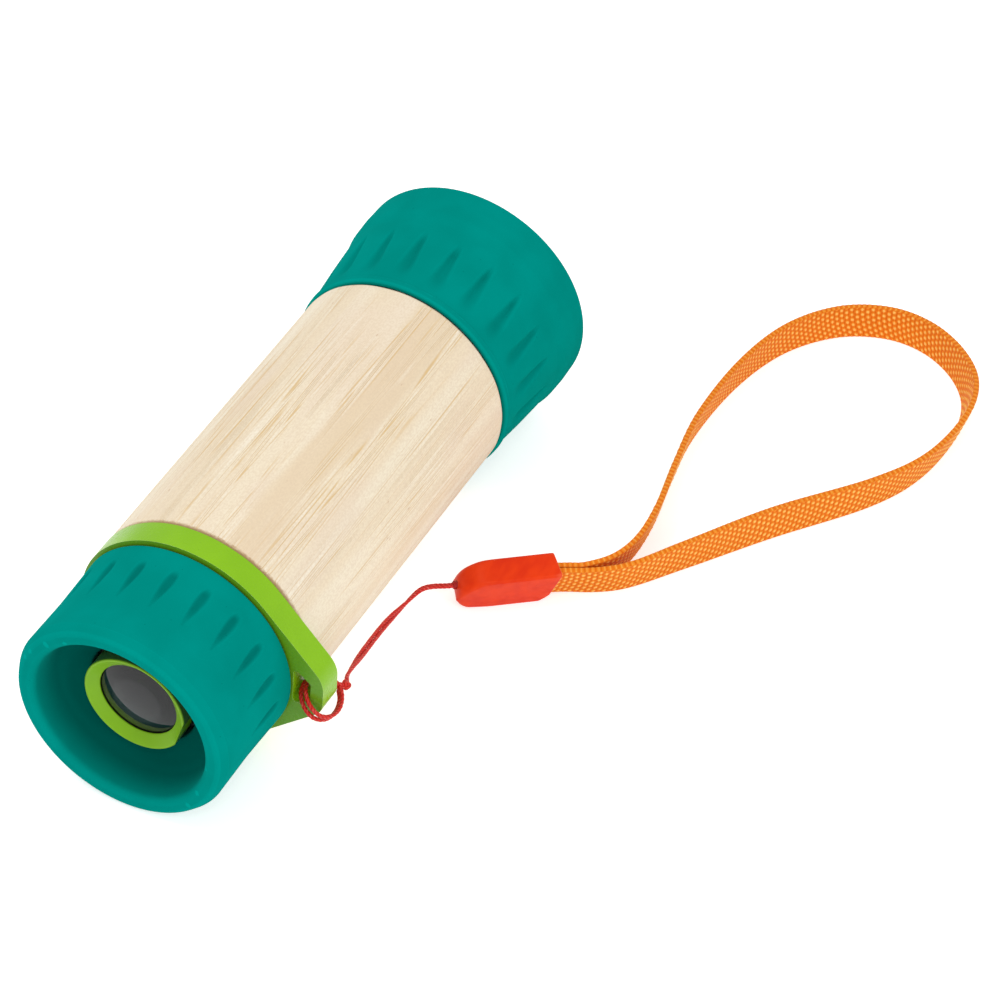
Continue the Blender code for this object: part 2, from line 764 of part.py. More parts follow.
def bead_place(row_r, angle, y=BEAD_Y):
    """Placement in the chamber at an angle from straight down; the bead's X points to the axis."""
    outwards = Matrix.Rotation(angle, 4, "Y") @ Matrix.Translation(Vector((0.0, y, -row_r)) * MM)
    return outwards @ Matrix.Rotation(math.radians(90.0), 4, "X")


def beads():
    """Nine loose pieces in two rows along the chamber's lowest part."""
    outer_row = (
        ("round_bead_red", lambda n: ball(n, 2.5, bead_material("red"))),
        ("star_chip", lambda n: plate(n, [star_outline(5, 2.8, 1.4)], 1.6, bead_material("yellow"))),
        ("round_bead_blue", lambda n: ball(n, 2.6, bead_material("blue"))),
        ("triangle_chip", lambda n: plate(n, [polygon_outline(3, 2.8)], 1.8, bead_material("green"))),
        ("flat_bead_pink", lambda n: ball(n, 2.5, bead_material("pink"), 0.6)),
        ("flower_chip", lambda n: plate(n, [star_outline(6, 2.7, 1.9)], 1.5, bead_material("violet"))),
    )
    made = []
    for index, (name, build) in enumerate(outer_row):
        piece = build(name)
        piece.matrix_world = bead_place(BEAD_OUTER_ROW, (index - 2.5) * BEAD_OUTER_SPACING)
        made.append(piece)
    for side, name, colour in ((-1.0, "round_bead_cyan", "cyan"), (1.0, "round_bead_clear", "clear")):
        piece = ball(name, 2.1, bead_material(colour))
        piece.matrix_world = bead_place(BEAD_INNER_ROW, side * BEAD_INNER_SPREAD)
        made.append(piece)
    bugle, hole = bugle_bead("bugle_bead_orange", BUGLE_LENGTH, BUGLE_R, bead_material("orange"))
    lying = Matrix.Translation(Vector((0.0, BEAD_Y, -BEAD_INNER_ROW)) * MM)
    for piece in (bugle, hole):
        piece.matrix_world = lying @ Matrix.Rotation(math.radians(90.0), 4, "Y")
    made.append(bugle)
    made.append(hole)
    return made


# --- Cord, sleeve and webbing ----------------------------------------------------------------------

HITCH_ACROSS = Vector((math.cos(HITCH_LEAN), 0.0, -math.sin(HITCH_LEAN)))
HITCH_NORMAL = Vector((math.sin(HITCH_LEAN), 0.0, math.cos(HITCH_LEAN)))
KNOT = HITCH_CENTRE + KNOT_REACH * (
    math.cos(KNOT_ANGLE) * Vector((0.0, 1.0, 0.0)) + math.sin(KNOT_ANGLE) * HITCH_ACROSS
)


def cord_hitch():
    """Two turns of cord round the lug's bar, through its hole."""
    steps = 18 * HITCH_TURNS
    clear = math.radians(14.0)
    points = []
    for step in range(steps + 1):
        share = step / steps
        angle = KNOT_ANGLE + clear + (HITCH_TURNS * math.tau - 2.0 * clear) * share
        across = math.cos(angle) * Vector((0.0, 1.0, 0.0)) + math.sin(angle) * HITCH_ACROSS
        lift = HITCH_PITCH * HITCH_TURNS * (share - 0.5)
        points.append(HITCH_CENTRE + HITCH_R * across + lift * HITCH_NORMAL)
    return cord_tube("cord_hitch", points, CORD_R, RED_CORD)


def cord_waypoints():
    """The cord from its knot, drooping to the table and along it to the sleeve's mouth."""
    mouth = SLEEVE @ Vector((SLEEVE_MOUTH - 0.6, 0.0, 0.0))
    heading = (SLEEVE.to_3x3() @ Vector((1.0, 0.0, 0.0))).normalized()
    first = Vector((23.6, -88.6, -8.0))
    start = KNOT + (first - KNOT).normalized() * (KNOT_R + GAP)
    droop = [Vector((20.9, -72.8, -13.4)), Vector((20.3, -63.0, -16.4))]
    return [start, first] + droop + [mouth - 4.0 * heading, mouth]


def cord_strands():
    """Two strands laid side by side and twisted round each other."""
    centre = smooth_path(cord_waypoints(), 2.6)
    offset = CORD_R + 0.5 * GAP
    half_turns = 5.0
    for phase, letter in ((0.0, "a"), (math.pi, "b")):
        points = []
        for index, point in enumerate(centre):
            before = centre[max(0, index - 1)]
            after = centre[min(len(centre) - 1, index + 1)]
            along = (after - before).normalized()
            side = along.cross(Vector((0.0, 0.0, 1.0))).normalized()
            up = side.cross(along)
            angle = phase + math.pi * half_turns * index / (len(centre) - 1)
            points.append(point + offset * (math.cos(angle) * side + math.sin(angle) * up))
        cord_tube(f"cord_strand_{letter}", points, CORD_R, RED_CORD)


def cord_stopper():
    """The cord's end inside the sleeve: a stem through its nose and a knot too big for the hole."""
    start = SLEEVE_MOUTH + 0.35
    knot_x = SLEEVE_CAVITY_START + GAP + STOP_KNOT_R
    neck_x = knot_x - math.sqrt(STOP_KNOT_R**2 - STEM_R**2)
    outline = [(0.0, start), (STEM_R, start, SMALL_EDGE), (STEM_R, neck_x)]
    neck_angle = math.asin(STEM_R / STOP_KNOT_R)
    steps = 6
    for step in range(1, steps):
        angle = neck_angle + (math.pi - neck_angle) * step / steps
        outline.append((STOP_KNOT_R * math.sin(angle), knot_x - STOP_KNOT_R * math.cos(angle)))
    outline.append((0.0, knot_x + STOP_KNOT_R))
    stopper = turned("cord_stopper", outline, RED_CORD, 16, solid=True)
    along = Matrix.Rotation(math.radians(90.0), 4, "Y")
    stopper.matrix_world = in_millimetres(SLEEVE) @ along
    return stopper


def strap_sleeve():
    """Moulded sleeve with a rounded nose, a slanted open end and a cavity for knot and webbing."""
    half = 0.5 * SLEEVE_HEIGHT
    side = [
        (0.0, half, SLEEVE_NOSE_FILLET),
        (0.0, -half, SLEEVE_NOSE_FILLET),
        (SLEEVE_LENGTH - SLEEVE_SLANT, -half),
        (SLEEVE_LENGTH - SLEEVE_SLANT_MIDDLE, -half + SLEEVE_SLANT_RISE),
        (SLEEVE_LENGTH, half, SMALL_EDGE),
    ]
    upright = in_millimetres(SLEEVE) @ Matrix.Rotation(math.radians(90.0), 4, "X")
    sleeve = plate("strap_sleeve", [filleted(side)], SLEEVE_THICKNESS, RED_PLASTIC)
    sleeve.matrix_world = upright
    bevelled(sleeve, SLEEVE_EDGE)
    cavity_length = SLEEVE_LENGTH + 4.0 - SLEEVE_CAVITY_START
    size = (cavity_length, 2.0 * WEBBING_THICKNESS + 0.9, WEBBING_WIDTH + 2.0 * GAP)
    cavity = box("sleeve_cavity", size, RED_PLASTIC, CUTTERS)
    middle = Vector((SLEEVE_CAVITY_START + 0.5 * cavity_length, 0.0, 0.0)) * MM
    cavity.matrix_world = in_millimetres(SLEEVE) @ Matrix.Translation(middle)
    hole = rod("sleeve_hole", 12.0, SLEEVE_HOLE_R, RED_PLASTIC, CUTTERS, steps=16)
    hole.matrix_world = in_millimetres(SLEEVE) @ Matrix.Rotation(math.radians(90.0), 4, "Y")
    cut(sleeve, hole)
    cut(sleeve, cavity)
    return sleeve, cavity, hole


def webbing_tail():
    """Sewn double end of the webbing, held in the sleeve."""
    start = SLEEVE_CAVITY_START + 4.0
    end = WEBBING_HINGE - 0.4
    size = (end - start, 2.0 * WEBBING_THICKNESS + 0.3, WEBBING_WIDTH)
    tail = box("webbing_tail", size, ORANGE_WEBBING)
    middle = Vector((0.5 * (start + end), 0.0, 0.0)) * MM
    tail.matrix_world = in_millimetres(SLEEVE) @ Matrix.Translation(middle)
    return tail


def webbing_waypoints():
    """The loop's centre line on the table: out along the near run, round, and back to the sleeve."""
    heading = Vector((math.cos(SLEEVE_HEADING), math.sin(SLEEVE_HEADING)))
    aside = Vector((-heading.y, heading.x)) * 0.5 * (WEBBING_THICKNESS + GAP)
    leave = SLEEVE_START + heading * (WEBBING_HINGE + 1.0)
    out = [(49.5, -35.6), (57.0, -25.6), (67.3, -11.1), (79.4, 4.6), (84.9, 16.0), (86.4, 29.0)]
    turn = [(84.5, 38.5), (79.0, 45.3), (71.0, 49.6), (62.4, 49.9), (53.8, 45.4)]
    back = [(47.2, 35.9), (43.9, 22.4), (43.4, 6.0), (45.4, -7.5), (47.7, -19.3)]
    close = [(48.3, -28.5), (46.9, -34.8)]
    path = [leave - aside] + [Vector(point) for point in out + turn + back + close]
    return path + [leave + heading * 3.0 + aside, leave + aside]


def webbing_loop():
    """Flat webbing standing on edge, as one closed band from the sleeve round and back."""
    curve = bpy.data.curves.new("webbing_loop", "CURVE")
    curve.dimensions = "2D"
    curve.fill_mode = "NONE"
    curve.extrude = 0.5 * WEBBING_WIDTH * MM
    path = smooth_path(webbing_waypoints(), 5.0)
    spline = curve.splines.new("POLY")
    spline.points.add(len(path) - 1)
    for point, target in zip(path, spline.points):
        along = (point.y - TABLE_NEAR_Y) / math.cos(TABLE_TILT)
        target.co = (point.x * MM, along * MM, 0.0, 1.0)
    band = as_mesh(add_object("webbing_loop", curve, ORANGE_WEBBING))
    raised = TABLE @ Matrix.Translation((0.0, 0.0, 0.5 * WEBBING_WIDTH + 0.1))
    band.matrix_world = in_millimetres(raised)
    skin = band.modifiers.new("Thickness", "SOLIDIFY")
    skin.thickness = WEBBING_THICKNESS * MM
    skin.offset = 0.0
    return band


# --- Assembly --------------------------------------------------------------------------------------


def build_fixed():
    """Everything that stays with the tube."""
    bamboo_tube()
    eyepiece_core()
    strap_ring()
    eyecup()
    eyepiece_bezel()
    eye_lens()
    lens_clip()
    mirror_prism()
    eye_stop()
    mirror_mask()
    chamber_bush()
    bush_keeper()
    slip_washer()


def build_chamber():
    """The chamber on its hinge, and the beads on theirs; both turn about the optical axis."""
    chamber_pivot = pivot("chamber_pivot", (0.0, BEAD_Y, 0.0))
    for build in (chamber_housing, inner_window, chamber_spacer, outer_window, window_ring, grip_cap):
        hang(build(), chamber_pivot)
    bead_pivot = pivot("bead_pivot", (0.0, BEAD_Y, 0.0), chamber_pivot)
    for made in beads():
        hang(made, bead_pivot)


def build_strap():
    """The strap as a chain: hitch on the lug, cord at the knot, sleeve at its mouth, webbing at its end."""
    hitch_pivot = pivot("hitch_pivot", HITCH_CENTRE)
    knot = ball("cord_knot", KNOT_R, RED_CORD)
    knot.location = KNOT * MM
    for made in (cord_hitch(), knot):
        hang(made, hitch_pivot)
    cord_pivot = pivot("cord_pivot", KNOT, hitch_pivot)
    cord_strands()
    for letter in "ab":
        hang(bpy.data.objects[f"cord_strand_{letter}"], cord_pivot)
    sleeve_pivot = pivot("sleeve_pivot", SLEEVE @ Vector((SLEEVE_MOUTH, 0.0, 0.0)), cord_pivot)
    for made in (*strap_sleeve(), cord_stopper(), webbing_tail()):
        hang(made, sleeve_pivot)
    loop_pivot = pivot("loop_pivot", SLEEVE @ Vector((WEBBING_HINGE, 0.0, 0.0)), sleeve_pivot)
    hang(webbing_loop(), loop_pivot)


build_fixed()
build_chamber()
build_strap()
bpy.context.view_layer.update()
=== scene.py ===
"""Looks of a bamboo kaleidoscope with a wrist strap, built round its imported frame.

The frame gives the places: the optical axis is Y, the eyepiece looks out at -Y, +Z is up and the strap's
lug points to +X. Lengths below are in millimetres unless a name says otherwise, and MM turns them into
metres. Turned and swept pieces are grids of points, so that every hollow, weave and twist is geometry.
"""

import json
from math import atan2, ceil, copysign, cos, degrees, pi, radians, sin, sqrt, tan, tau

import bmesh
import bpy
import numpy as np
from mathutils import Matrix, Vector


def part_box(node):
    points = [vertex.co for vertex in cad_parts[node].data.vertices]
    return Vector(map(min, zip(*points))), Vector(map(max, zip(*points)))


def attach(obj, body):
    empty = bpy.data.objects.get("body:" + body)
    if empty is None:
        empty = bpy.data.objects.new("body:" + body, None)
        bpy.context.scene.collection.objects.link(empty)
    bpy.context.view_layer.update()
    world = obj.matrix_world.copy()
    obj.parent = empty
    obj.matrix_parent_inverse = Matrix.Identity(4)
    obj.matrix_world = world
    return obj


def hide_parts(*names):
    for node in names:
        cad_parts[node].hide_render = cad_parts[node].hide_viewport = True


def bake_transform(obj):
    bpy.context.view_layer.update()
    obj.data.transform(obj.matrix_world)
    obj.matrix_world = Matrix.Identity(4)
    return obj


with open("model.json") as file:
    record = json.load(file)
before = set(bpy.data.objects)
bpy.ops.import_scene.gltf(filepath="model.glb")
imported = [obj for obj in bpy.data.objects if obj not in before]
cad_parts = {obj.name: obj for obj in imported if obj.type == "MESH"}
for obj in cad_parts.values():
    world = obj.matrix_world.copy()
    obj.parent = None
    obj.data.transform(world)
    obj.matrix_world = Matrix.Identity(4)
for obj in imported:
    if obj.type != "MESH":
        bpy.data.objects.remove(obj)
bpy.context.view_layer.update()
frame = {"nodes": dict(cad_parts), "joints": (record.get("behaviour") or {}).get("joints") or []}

MM = 0.001
ROUND = 480  # points round a large turned piece
MIDDLE_ROUND = 240  # round a middling one
SMALL_ROUND = 160  # round a small one


# --- Places taken from the frame ---


def turned_box(node):
    """(radius, near y, far y) of a node turned about the optical axis."""
    low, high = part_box(node)
    return high.x / MM, low.y / MM, high.y / MM


def joint_place(name):
    """A joint's position in millimetres and its axis."""
    joint = next(j for j in frame["joints"] if j["name"] == name)
    return Vector(joint["pos_m"]) / MM, Vector(joint["axis"]).normalized()


TUBE_R, TUBE_NEAR, TUBE_FAR = turned_box("bamboo_tube")
CUP_R, CUP_RIM, CUP_EDGE = turned_box("eyecup")
CAP_R, CAP_NEAR, CAP_FAR = turned_box("grip_cap")
BEZEL_R, BEZEL_FACE, BEZEL_FAR = turned_box("eyepiece_bezel")
LENS_R, LENS_NEAR, LENS_FAR = turned_box("eye_lens")
WINDOW_R, WINDOW_NEAR, WINDOW_FAR = turned_box("outer_window")
LOCK_R, LOCK_NEAR, LOCK_FAR = turned_box("window_ring")
RING_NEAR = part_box("strap_ring")[0].y / MM
SEAM_SHIFT = 0.8  # the seam of ring and tube sits this much nearer the cup than in the CAD
RING_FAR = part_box("strap_ring")[1].y / MM - SEAM_SHIFT
TUBE_NEAR -= SEAM_SHIFT

HITCH_CENTRE, _ = joint_place("hitch_swing")
KNOT, _ = joint_place("cord_lift")
MOUTH, TABLE_UP = joint_place("sleeve_bend")
WEBBING_HINGE, _ = joint_place("webbing_bend")

BEAD_WIDTH = 1.5  # the grip cap's rolled edge at the tube's side
BEZEL_DISH = 1.7  # how far the mount's dished face runs back to its mouth

# The table touches the eyecup's rim and the grip cap's rim.
CUP_TOUCH = CUP_RIM + 2.3
CAP_TOUCH = CAP_FAR - 4.7
CUP_RIM_R = -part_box("eyecup")[0].z / MM - 0.15
TABLE_SLOPE = (CAP_R - CUP_RIM_R) / (CAP_TOUCH - CUP_TOUCH)


def on_table(x, y, height=0.0):
    """Point above the table at x and y."""
    foot = Vector((x, y, -CUP_RIM_R - (y - CUP_TOUCH) * TABLE_SLOPE))
    return foot + height * TABLE_UP


# --- Materials ---


class Finish:
    """A Principled material fed by small patterns, which are measured in millimetres."""

    def __init__(self, name, attribute=None):
        self.material = bpy.data.materials.new(name)
        self.material.use_nodes = True
        self.tree = self.material.node_tree
        self.shader = self.tree.nodes["Principled BSDF"]
        if attribute:
            self.place = self.add("ShaderNodeAttribute", attribute_name=attribute).outputs["Vector"]
        else:
            whole = self.add("ShaderNodeTexCoord").outputs["Object"]
            scale = (1.0 / MM,) * 3
            self.place = self.add("ShaderNodeMapping", {"Vector": whole, "Scale": scale}).outputs[0]

    def add(self, kind, inputs=(), **settings):
        """A node with its settings and inputs given."""
        made = self.tree.nodes.new(kind)
        for key, value in settings.items():
            setattr(made, key, value)
        for key, value in dict(inputs).items():
            self.feed(made.inputs[key], value)
        return made

    def feed(self, socket, value):
        """Link a socket to another's output, or set its value; a colour may be three numbers."""
        if isinstance(value, bpy.types.NodeSocket):
            self.tree.links.new(value, socket)
        elif socket.type == "RGBA" and len(value) == 3:
            socket.default_value = (*value, 1.0)
        else:
            socket.default_value = value

    def mapped(self, size, stretch, shift):
        """The place, scaled so that a pattern's cell is size across, longer along a stretched axis."""
        scale = [1.0 / (size * axis) for axis in stretch]
        place = {"Vector": self.place, "Scale": scale, "Location": (shift,) * 3}
        return self.add("ShaderNodeMapping", place).outputs[0]

    def noise(self, size, stretch=(1.0, 1.0, 1.0), detail=3.0, shift=0.0):
        """Cloudy pattern around 0.5 with patches about size across."""
        inputs = {"Vector": self.mapped(size, stretch, shift), "Scale": 1.0, "Detail": detail}
        return self.add("ShaderNodeTexNoise", inputs).outputs["Fac"]

    def specks(self, size, share, shift=0.0, stretch=(1.0, 1.0, 1.0)):
        """1 on small scattered specks, 0 elsewhere; share is how far each speck fills its cell."""
        inputs = {"Vector": self.mapped(size, stretch, shift), "Scale": 1.0}
        cells = self.add("ShaderNodeTexVoronoi", inputs).outputs["Distance"]
        return self.between(cells, share, 0.4 * share)

    def between(self, value, low, high):
        """0 at low and 1 at high, smooth between; low may be above high."""
        inputs = {"Value": value, "From Min": low, "From Max": high}
        return self.add("ShaderNodeMapRange", inputs, interpolation_type="SMOOTHSTEP").outputs[0]

    def calc(self, operation, first, second=0.0):
        """One sum on two values."""
        return self.add("ShaderNodeMath", {0: first, 1: second}, operation=operation).outputs[0]

    def times(self, first, second):
        """The product of two values."""
        return self.calc("MULTIPLY", first, second)

    def plus(self, first, second):
        """The sum of two values."""
        return self.calc("ADD", first, second)

    def apart(self, first, second):
        """How far apart two values are."""
        return self.calc("ABSOLUTE", self.calc("SUBTRACT", first, second))

    def part(self, vector, index):
        """One coordinate of a vector."""
        return self.add("ShaderNodeSeparateXYZ", {"Vector": vector}).outputs[index]

    def axis(self, index):
        """One of the place's coordinates."""
        return self.part(self.place, index)

    def surface(self, name):
        """Something the renderer knows of the surface, such as its Normal."""
        return self.add("ShaderNodeNewGeometry").outputs[name]

    def radius(self):
        """Distance from the optical axis."""
        return self.vector("LENGTH", self.vector("MULTIPLY", self.place, (1.0, 0.0, 1.0), "Vector"))

    def vector(self, operation, first, second=(0.0, 0.0, 0.0), output="Value"):
        """One sum on two vectors."""
        inputs = {0: first, 1: second}
        return self.add("ShaderNodeVectorMath", inputs, operation=operation).outputs[output]

    def mix(self, share, first, second):
        """A colour between two others."""
        made = self.add("ShaderNodeMix", {0: share}, data_type="RGBA")
        self.feed(made.inputs[6], first)
        self.feed(made.inputs[7], second)
        return made.outputs[2]

    def bump(self, height, depth, normal=None):
        """A surface normal from a height pattern whose full range is depth."""
        made = self.add("ShaderNodeBump", {"Height": height, "Distance": depth * MM, "Strength": 1.0})
        if normal is not None:
            self.feed(made.inputs["Normal"], normal)
        return made.outputs[0]

    def unbend(self, share, tint, seen):
        """A share of the light goes straight through to what lies behind; the eye sees seen."""
        rays = self.add("ShaderNodeLightPath").outputs
        lit = self.times(self.calc("MAXIMUM", rays["Is Shadow Ray"], rays["Is Diffuse Ray"]), share)
        straight = self.add("ShaderNodeBsdfTransparent", {"Color": tint}).outputs[0]
        both = self.add("ShaderNodeMixShader", {0: lit, 1: seen, 2: straight}).outputs[0]
        self.feed(self.tree.nodes["Material Output"].inputs["Surface"], both)

    def done(self, colour, roughness, **inputs):
        """Wire the shader and return the material. Input names use _ for spaces."""
        self.feed(self.shader.inputs["Base Color"], colour)
        self.feed(self.shader.inputs["Roughness"], roughness)
        for key, value in inputs.items():
            self.feed(self.shader.inputs[key.replace("_", " ")], value)
        return self.material


def silicone():
    """Teal silicone: matte and a little cloudy, with painted shade in its grip hollows and bowl and a
    painted highlight, paler teal, on its edges.
    """
    f = Finish("teal_silicone_look")
    clouds = f.noise(9.0, detail=2.0)
    colour = f.mix(f.between(clouds, 0.3, 0.7), (0.0, 0.245, 0.208), (0.0, 0.27, 0.232))
    # Painted highlight: paler teal on convex edges, mostly at the ends of the cup and the cap.
    edge = f.between(f.surface("Pointiness"), 0.507, 0.519)
    for low, high in ((CUP_RIM + 4.0, CUP_EDGE - 1.2), (CAP_NEAR + BEAD_WIDTH + 0.8, CAP_FAR - 3.0)):
        from_middle = f.apart(f.axis(1), 0.5 * (low + high))
        half = 0.5 * (high - low)
        edge = f.times(edge, f.plus(f.between(from_middle, half - 0.3, half + 0.3), 0.12))
    colour = f.mix(f.times(edge, 0.5), colour, (0.0, 0.37, 0.32))
    colour = f.mix(f.times(f.specks(2.6, 0.055), 0.5), colour, (0.0, 0.11, 0.10))
    # Painted shade in the grip hollows of the cup and cap, darker where they are deeper.
    hollow_shade = f.part(f.add("ShaderNodeAttribute", attribute_name="weave").outputs["Vector"], 0)
    colour = f.mix(f.times(hollow_shade, 0.52), colour, (0.0, 0.105, 0.088))
    # Painted shade in the eyecup's bowl.
    bowl = f.times(f.between(f.radius(), 16.9, 15.4), f.between(f.axis(1), -90.0, -100.0))
    colour = f.mix(bowl, colour, (0.0, 0.11, 0.09))
    rough = f.plus(f.times(f.between(f.noise(1.4), 0.2, 0.8), 0.1), 0.5)
    normal = f.bump(f.noise(0.16, detail=4.0), 0.012)
    normal = f.bump(f.noise(3.0), 0.05, normal)
    return f.done(
        colour, rough, Normal=normal, Specular_IOR_Level=0.0,
        Sheen_Weight=0.05, Sheen_Roughness=0.4, Sheen_Tint=(0.1, 0.9, 0.8),
    )


def moulded_base(name, colour, deep, flow=7.0):
    """A finish and its colour for moulded plastic: faint flow marks and a few specks."""
    f = Finish(name)
    marks = f.noise(flow, stretch=(1.0, 2.5, 1.0), detail=2.0)
    mixed = f.mix(f.between(marks, 0.25, 0.75), deep, colour)
    dark = tuple(0.5 * channel for channel in colour)
    return f, f.mix(f.times(f.specks(3.1, 0.05, 4.0), 0.35), mixed, dark)


def moulded_surface(f, colour, roughness, tint=(1.0, 1.0, 1.0), specular=0.4):
    """The material, with moulded plastic's fine satin texture."""
    satin = f.between(f.noise(0.9, shift=2.0), 0.25, 0.75)
    rough = f.plus(f.times(satin, 0.12), roughness - 0.04)
    normal = f.bump(f.noise(0.22, detail=3.0), 0.006)
    normal = f.bump(f.noise(2.4, shift=1.0), 0.03, normal)
    return f.done(colour, rough, Normal=normal, Specular_Tint=tint, Specular_IOR_Level=specular)


def black_plastic():
    """Black plastic of the hidden inner parts."""
    f, colour = moulded_base("black_plastic_look", (0.022, 0.022, 0.024), (0.015, 0.015, 0.017))
    return moulded_surface(f, colour, 0.4)


def green_plastic():
    """Green plastic: painted shade, a deeper green, on faces turned towards the cup, and a painted
    highlight, a pale line, along their edge.
    """
    f, colour = moulded_base("green_plastic_look", (0.250, 0.535, 0.007), (0.225, 0.495, 0.006))
    # Painted shade: a deeper green on faces turned towards the cup.
    facing = f.part(f.surface("Normal"), 1)
    colour = f.mix(f.times(f.between(facing, -0.95, -0.99), 0.62), colour, (0.075, 0.225, 0.012))
    # Painted highlight: a pale line along the rounded edge of those faces.
    edge = f.times(f.between(facing, -0.12, -0.32), f.between(facing, -0.98, -0.90))
    colour = f.mix(f.times(edge, 0.75), colour, (0.72, 0.92, 0.45))
    return moulded_surface(f, colour, 0.24, (0.95, 1.0, 0.7))


def mount_plastic():
    """The lens mount's green: painted shade, darker, down its outer side, and painted shade, black, inside
    its bore beyond the mouth.
    """
    f, colour = moulded_base("green_mount_look", (0.235, 0.50, 0.010), (0.21, 0.45, 0.009))
    y = f.axis(1)
    # Painted shade: a dark green down the outer side.
    rim = f.between(f.radius(), BEZEL_R - 0.5, BEZEL_R - 0.2)
    side = f.times(rim, f.between(y, BEZEL_FACE + 0.3, BEZEL_FACE + 0.7))
    colour = f.mix(side, colour, (0.07, 0.16, 0.035))
    mouth_y = BEZEL_FACE + BEZEL_DISH
    # Painted shade: black inside the bore beyond the mouth, seen through the lens.
    bore = f.between(f.radius(), LENS_R + 0.5, LENS_R + 0.4)
    inside = f.times(bore, f.between(y, mouth_y + 0.1, mouth_y + 0.25))
    colour = f.mix(inside, colour, (0.012, 0.012, 0.010))
    return moulded_surface(f, colour, 0.36, (0.9, 1.0, 0.6))


def red_plastic():
    """Red plastic with soft mottling and a painted highlight, paler red, on its edges."""
    f, colour = moulded_base("red_plastic_look", (0.82, 0.046, 0.005), (0.72, 0.028, 0.004), 2.2)
    # Painted highlight: paler red on convex edges.
    edge = f.between(f.surface("Pointiness"), 0.515, 0.54)
    colour = f.mix(f.times(edge, 0.3), colour, (0.95, 0.22, 0.10))
    return moulded_surface(f, colour, 0.34, (1.0, 0.55, 0.35), 0.24)


def bamboo():
    """Sanded bamboo: cream with a tan band, fine ochre fibre lines, mottle, flecks and a ragged dark brown
    band at the end by the ring.
    """
    f = Finish("bamboo_look")
    broad = f.noise(5.5, stretch=(1.0, 30.0, 1.0), detail=2.0)
    colour = f.mix(f.between(broad, 0.36, 0.66), (0.90, 0.80, 0.62), (0.86, 0.725, 0.53))
    blush = f.between(f.noise(8.0, stretch=(1.0, 4.0, 1.0), shift=21.0), 0.48, 0.66)
    colour = f.mix(f.times(blush, 0.45), colour, (0.83, 0.68, 0.535))
    aside = f.vector("DOT_PRODUCT", f.place, (0.9, 0.0, -0.44))
    wander = f.times(f.calc("SUBTRACT", f.noise(3.0, stretch=(1.0, 10.0, 1.0)), 0.5), 9.0)
    from_band = f.calc("ABSOLUTE", f.plus(aside, wander))
    band = f.between(from_band, 6.0, 1.5)
    colour = f.mix(f.times(band, 0.65), colour, (0.765, 0.590, 0.385))
    slow = f.noise(2.4, stretch=(1.0, 140.0, 1.0), detail=1.0, shift=3.0)
    phase = f.calc("FRACT", f.times(slow, 24.0))
    cluster = f.between(f.noise(2.6, stretch=(1.0, 16.0, 1.0), shift=7.0), 0.40, 0.62)
    broken = f.between(f.noise(0.5, stretch=(1.0, 26.0, 1.0), shift=5.0), 0.34, 0.52)
    lines = f.between(f.apart(phase, 0.5), 0.20, 0.06)
    lines = f.times(lines, f.times(cluster, broken))
    colour = f.mix(f.times(lines, 0.75), colour, (0.70, 0.45, 0.16))
    pale = f.between(f.apart(phase, 0.12), 0.12, 0.03)
    colour = f.mix(f.times(f.times(pale, cluster), 0.5), colour, (0.97, 0.90, 0.76))
    mottle = f.between(f.noise(0.30, stretch=(1.0, 1.8, 1.0), detail=4.0, shift=13.0), 0.38, 0.62)
    colour = f.mix(f.times(mottle, 0.32), colour, (0.70, 0.55, 0.38))
    gate = f.between(f.noise(6.0, shift=11.0), 0.50, 0.60)
    flecks = f.times(f.specks(1.7, 0.10, 2.0, stretch=(1.0, 3.0, 1.0)), gate)
    colour = f.mix(f.times(flecks, 0.6), colour, (0.55, 0.33, 0.17))
    from_end = f.calc("SUBTRACT", f.axis(1), TUBE_NEAR)
    ragged = f.plus(from_end, f.times(f.noise(0.7, stretch=(1.0, 0.5, 1.0)), 0.7))
    colour = f.mix(f.times(f.between(ragged, 1.2, 0.55), 0.8), colour, (0.40, 0.21, 0.08))
    height = f.calc("SUBTRACT", f.times(lines, -1.0), f.times(flecks, 0.8))
    rough = f.plus(f.times(broad, 0.2), 0.42)
    return f.done(colour, rough, Normal=f.bump(height, 0.03), Specular_IOR_Level=0.3)


def webbing_finish():
    """Polyester webbing: a painted highlight, pale, on each raised bundle's top, painted shade, deep
    red-orange, in the valleys, and fine filaments.
    """
    f = Finish("webbing_look", attribute="weave")
    # Painted shade in the valleys and a painted highlight on the tops, by weave height, over the real
    # relief.
    rise = f.axis(2)
    colour = f.mix(f.between(rise, 0.12, 0.58), (0.70, 0.100, 0.002), (0.87, 0.250, 0.012))
    colour = f.mix(f.between(rise, 0.50, 0.90), colour, (1.0, 0.60, 0.15))
    threads = f.noise(0.10, stretch=(9.0, 1.0, 1.0), detail=3.0)
    colour = f.mix(f.times(f.between(threads, 0.5, 0.7), 0.25), colour, (0.62, 0.12, 0.01))
    shade = f.between(f.noise(5.0, stretch=(2.0, 1.0, 1.0)), 0.3, 0.7)
    colour = f.mix(f.times(shade, 0.12), colour, (0.72, 0.17, 0.01))
    normal = f.bump(threads, 0.03)
    return f.done(
        colour, 0.55, Normal=normal, Specular_Tint=(1.0, 0.7, 0.4), Specular_IOR_Level=0.18,
        Sheen_Weight=0.06, Sheen_Roughness=0.4, Sheen_Tint=(1.0, 0.5, 0.15),
    )


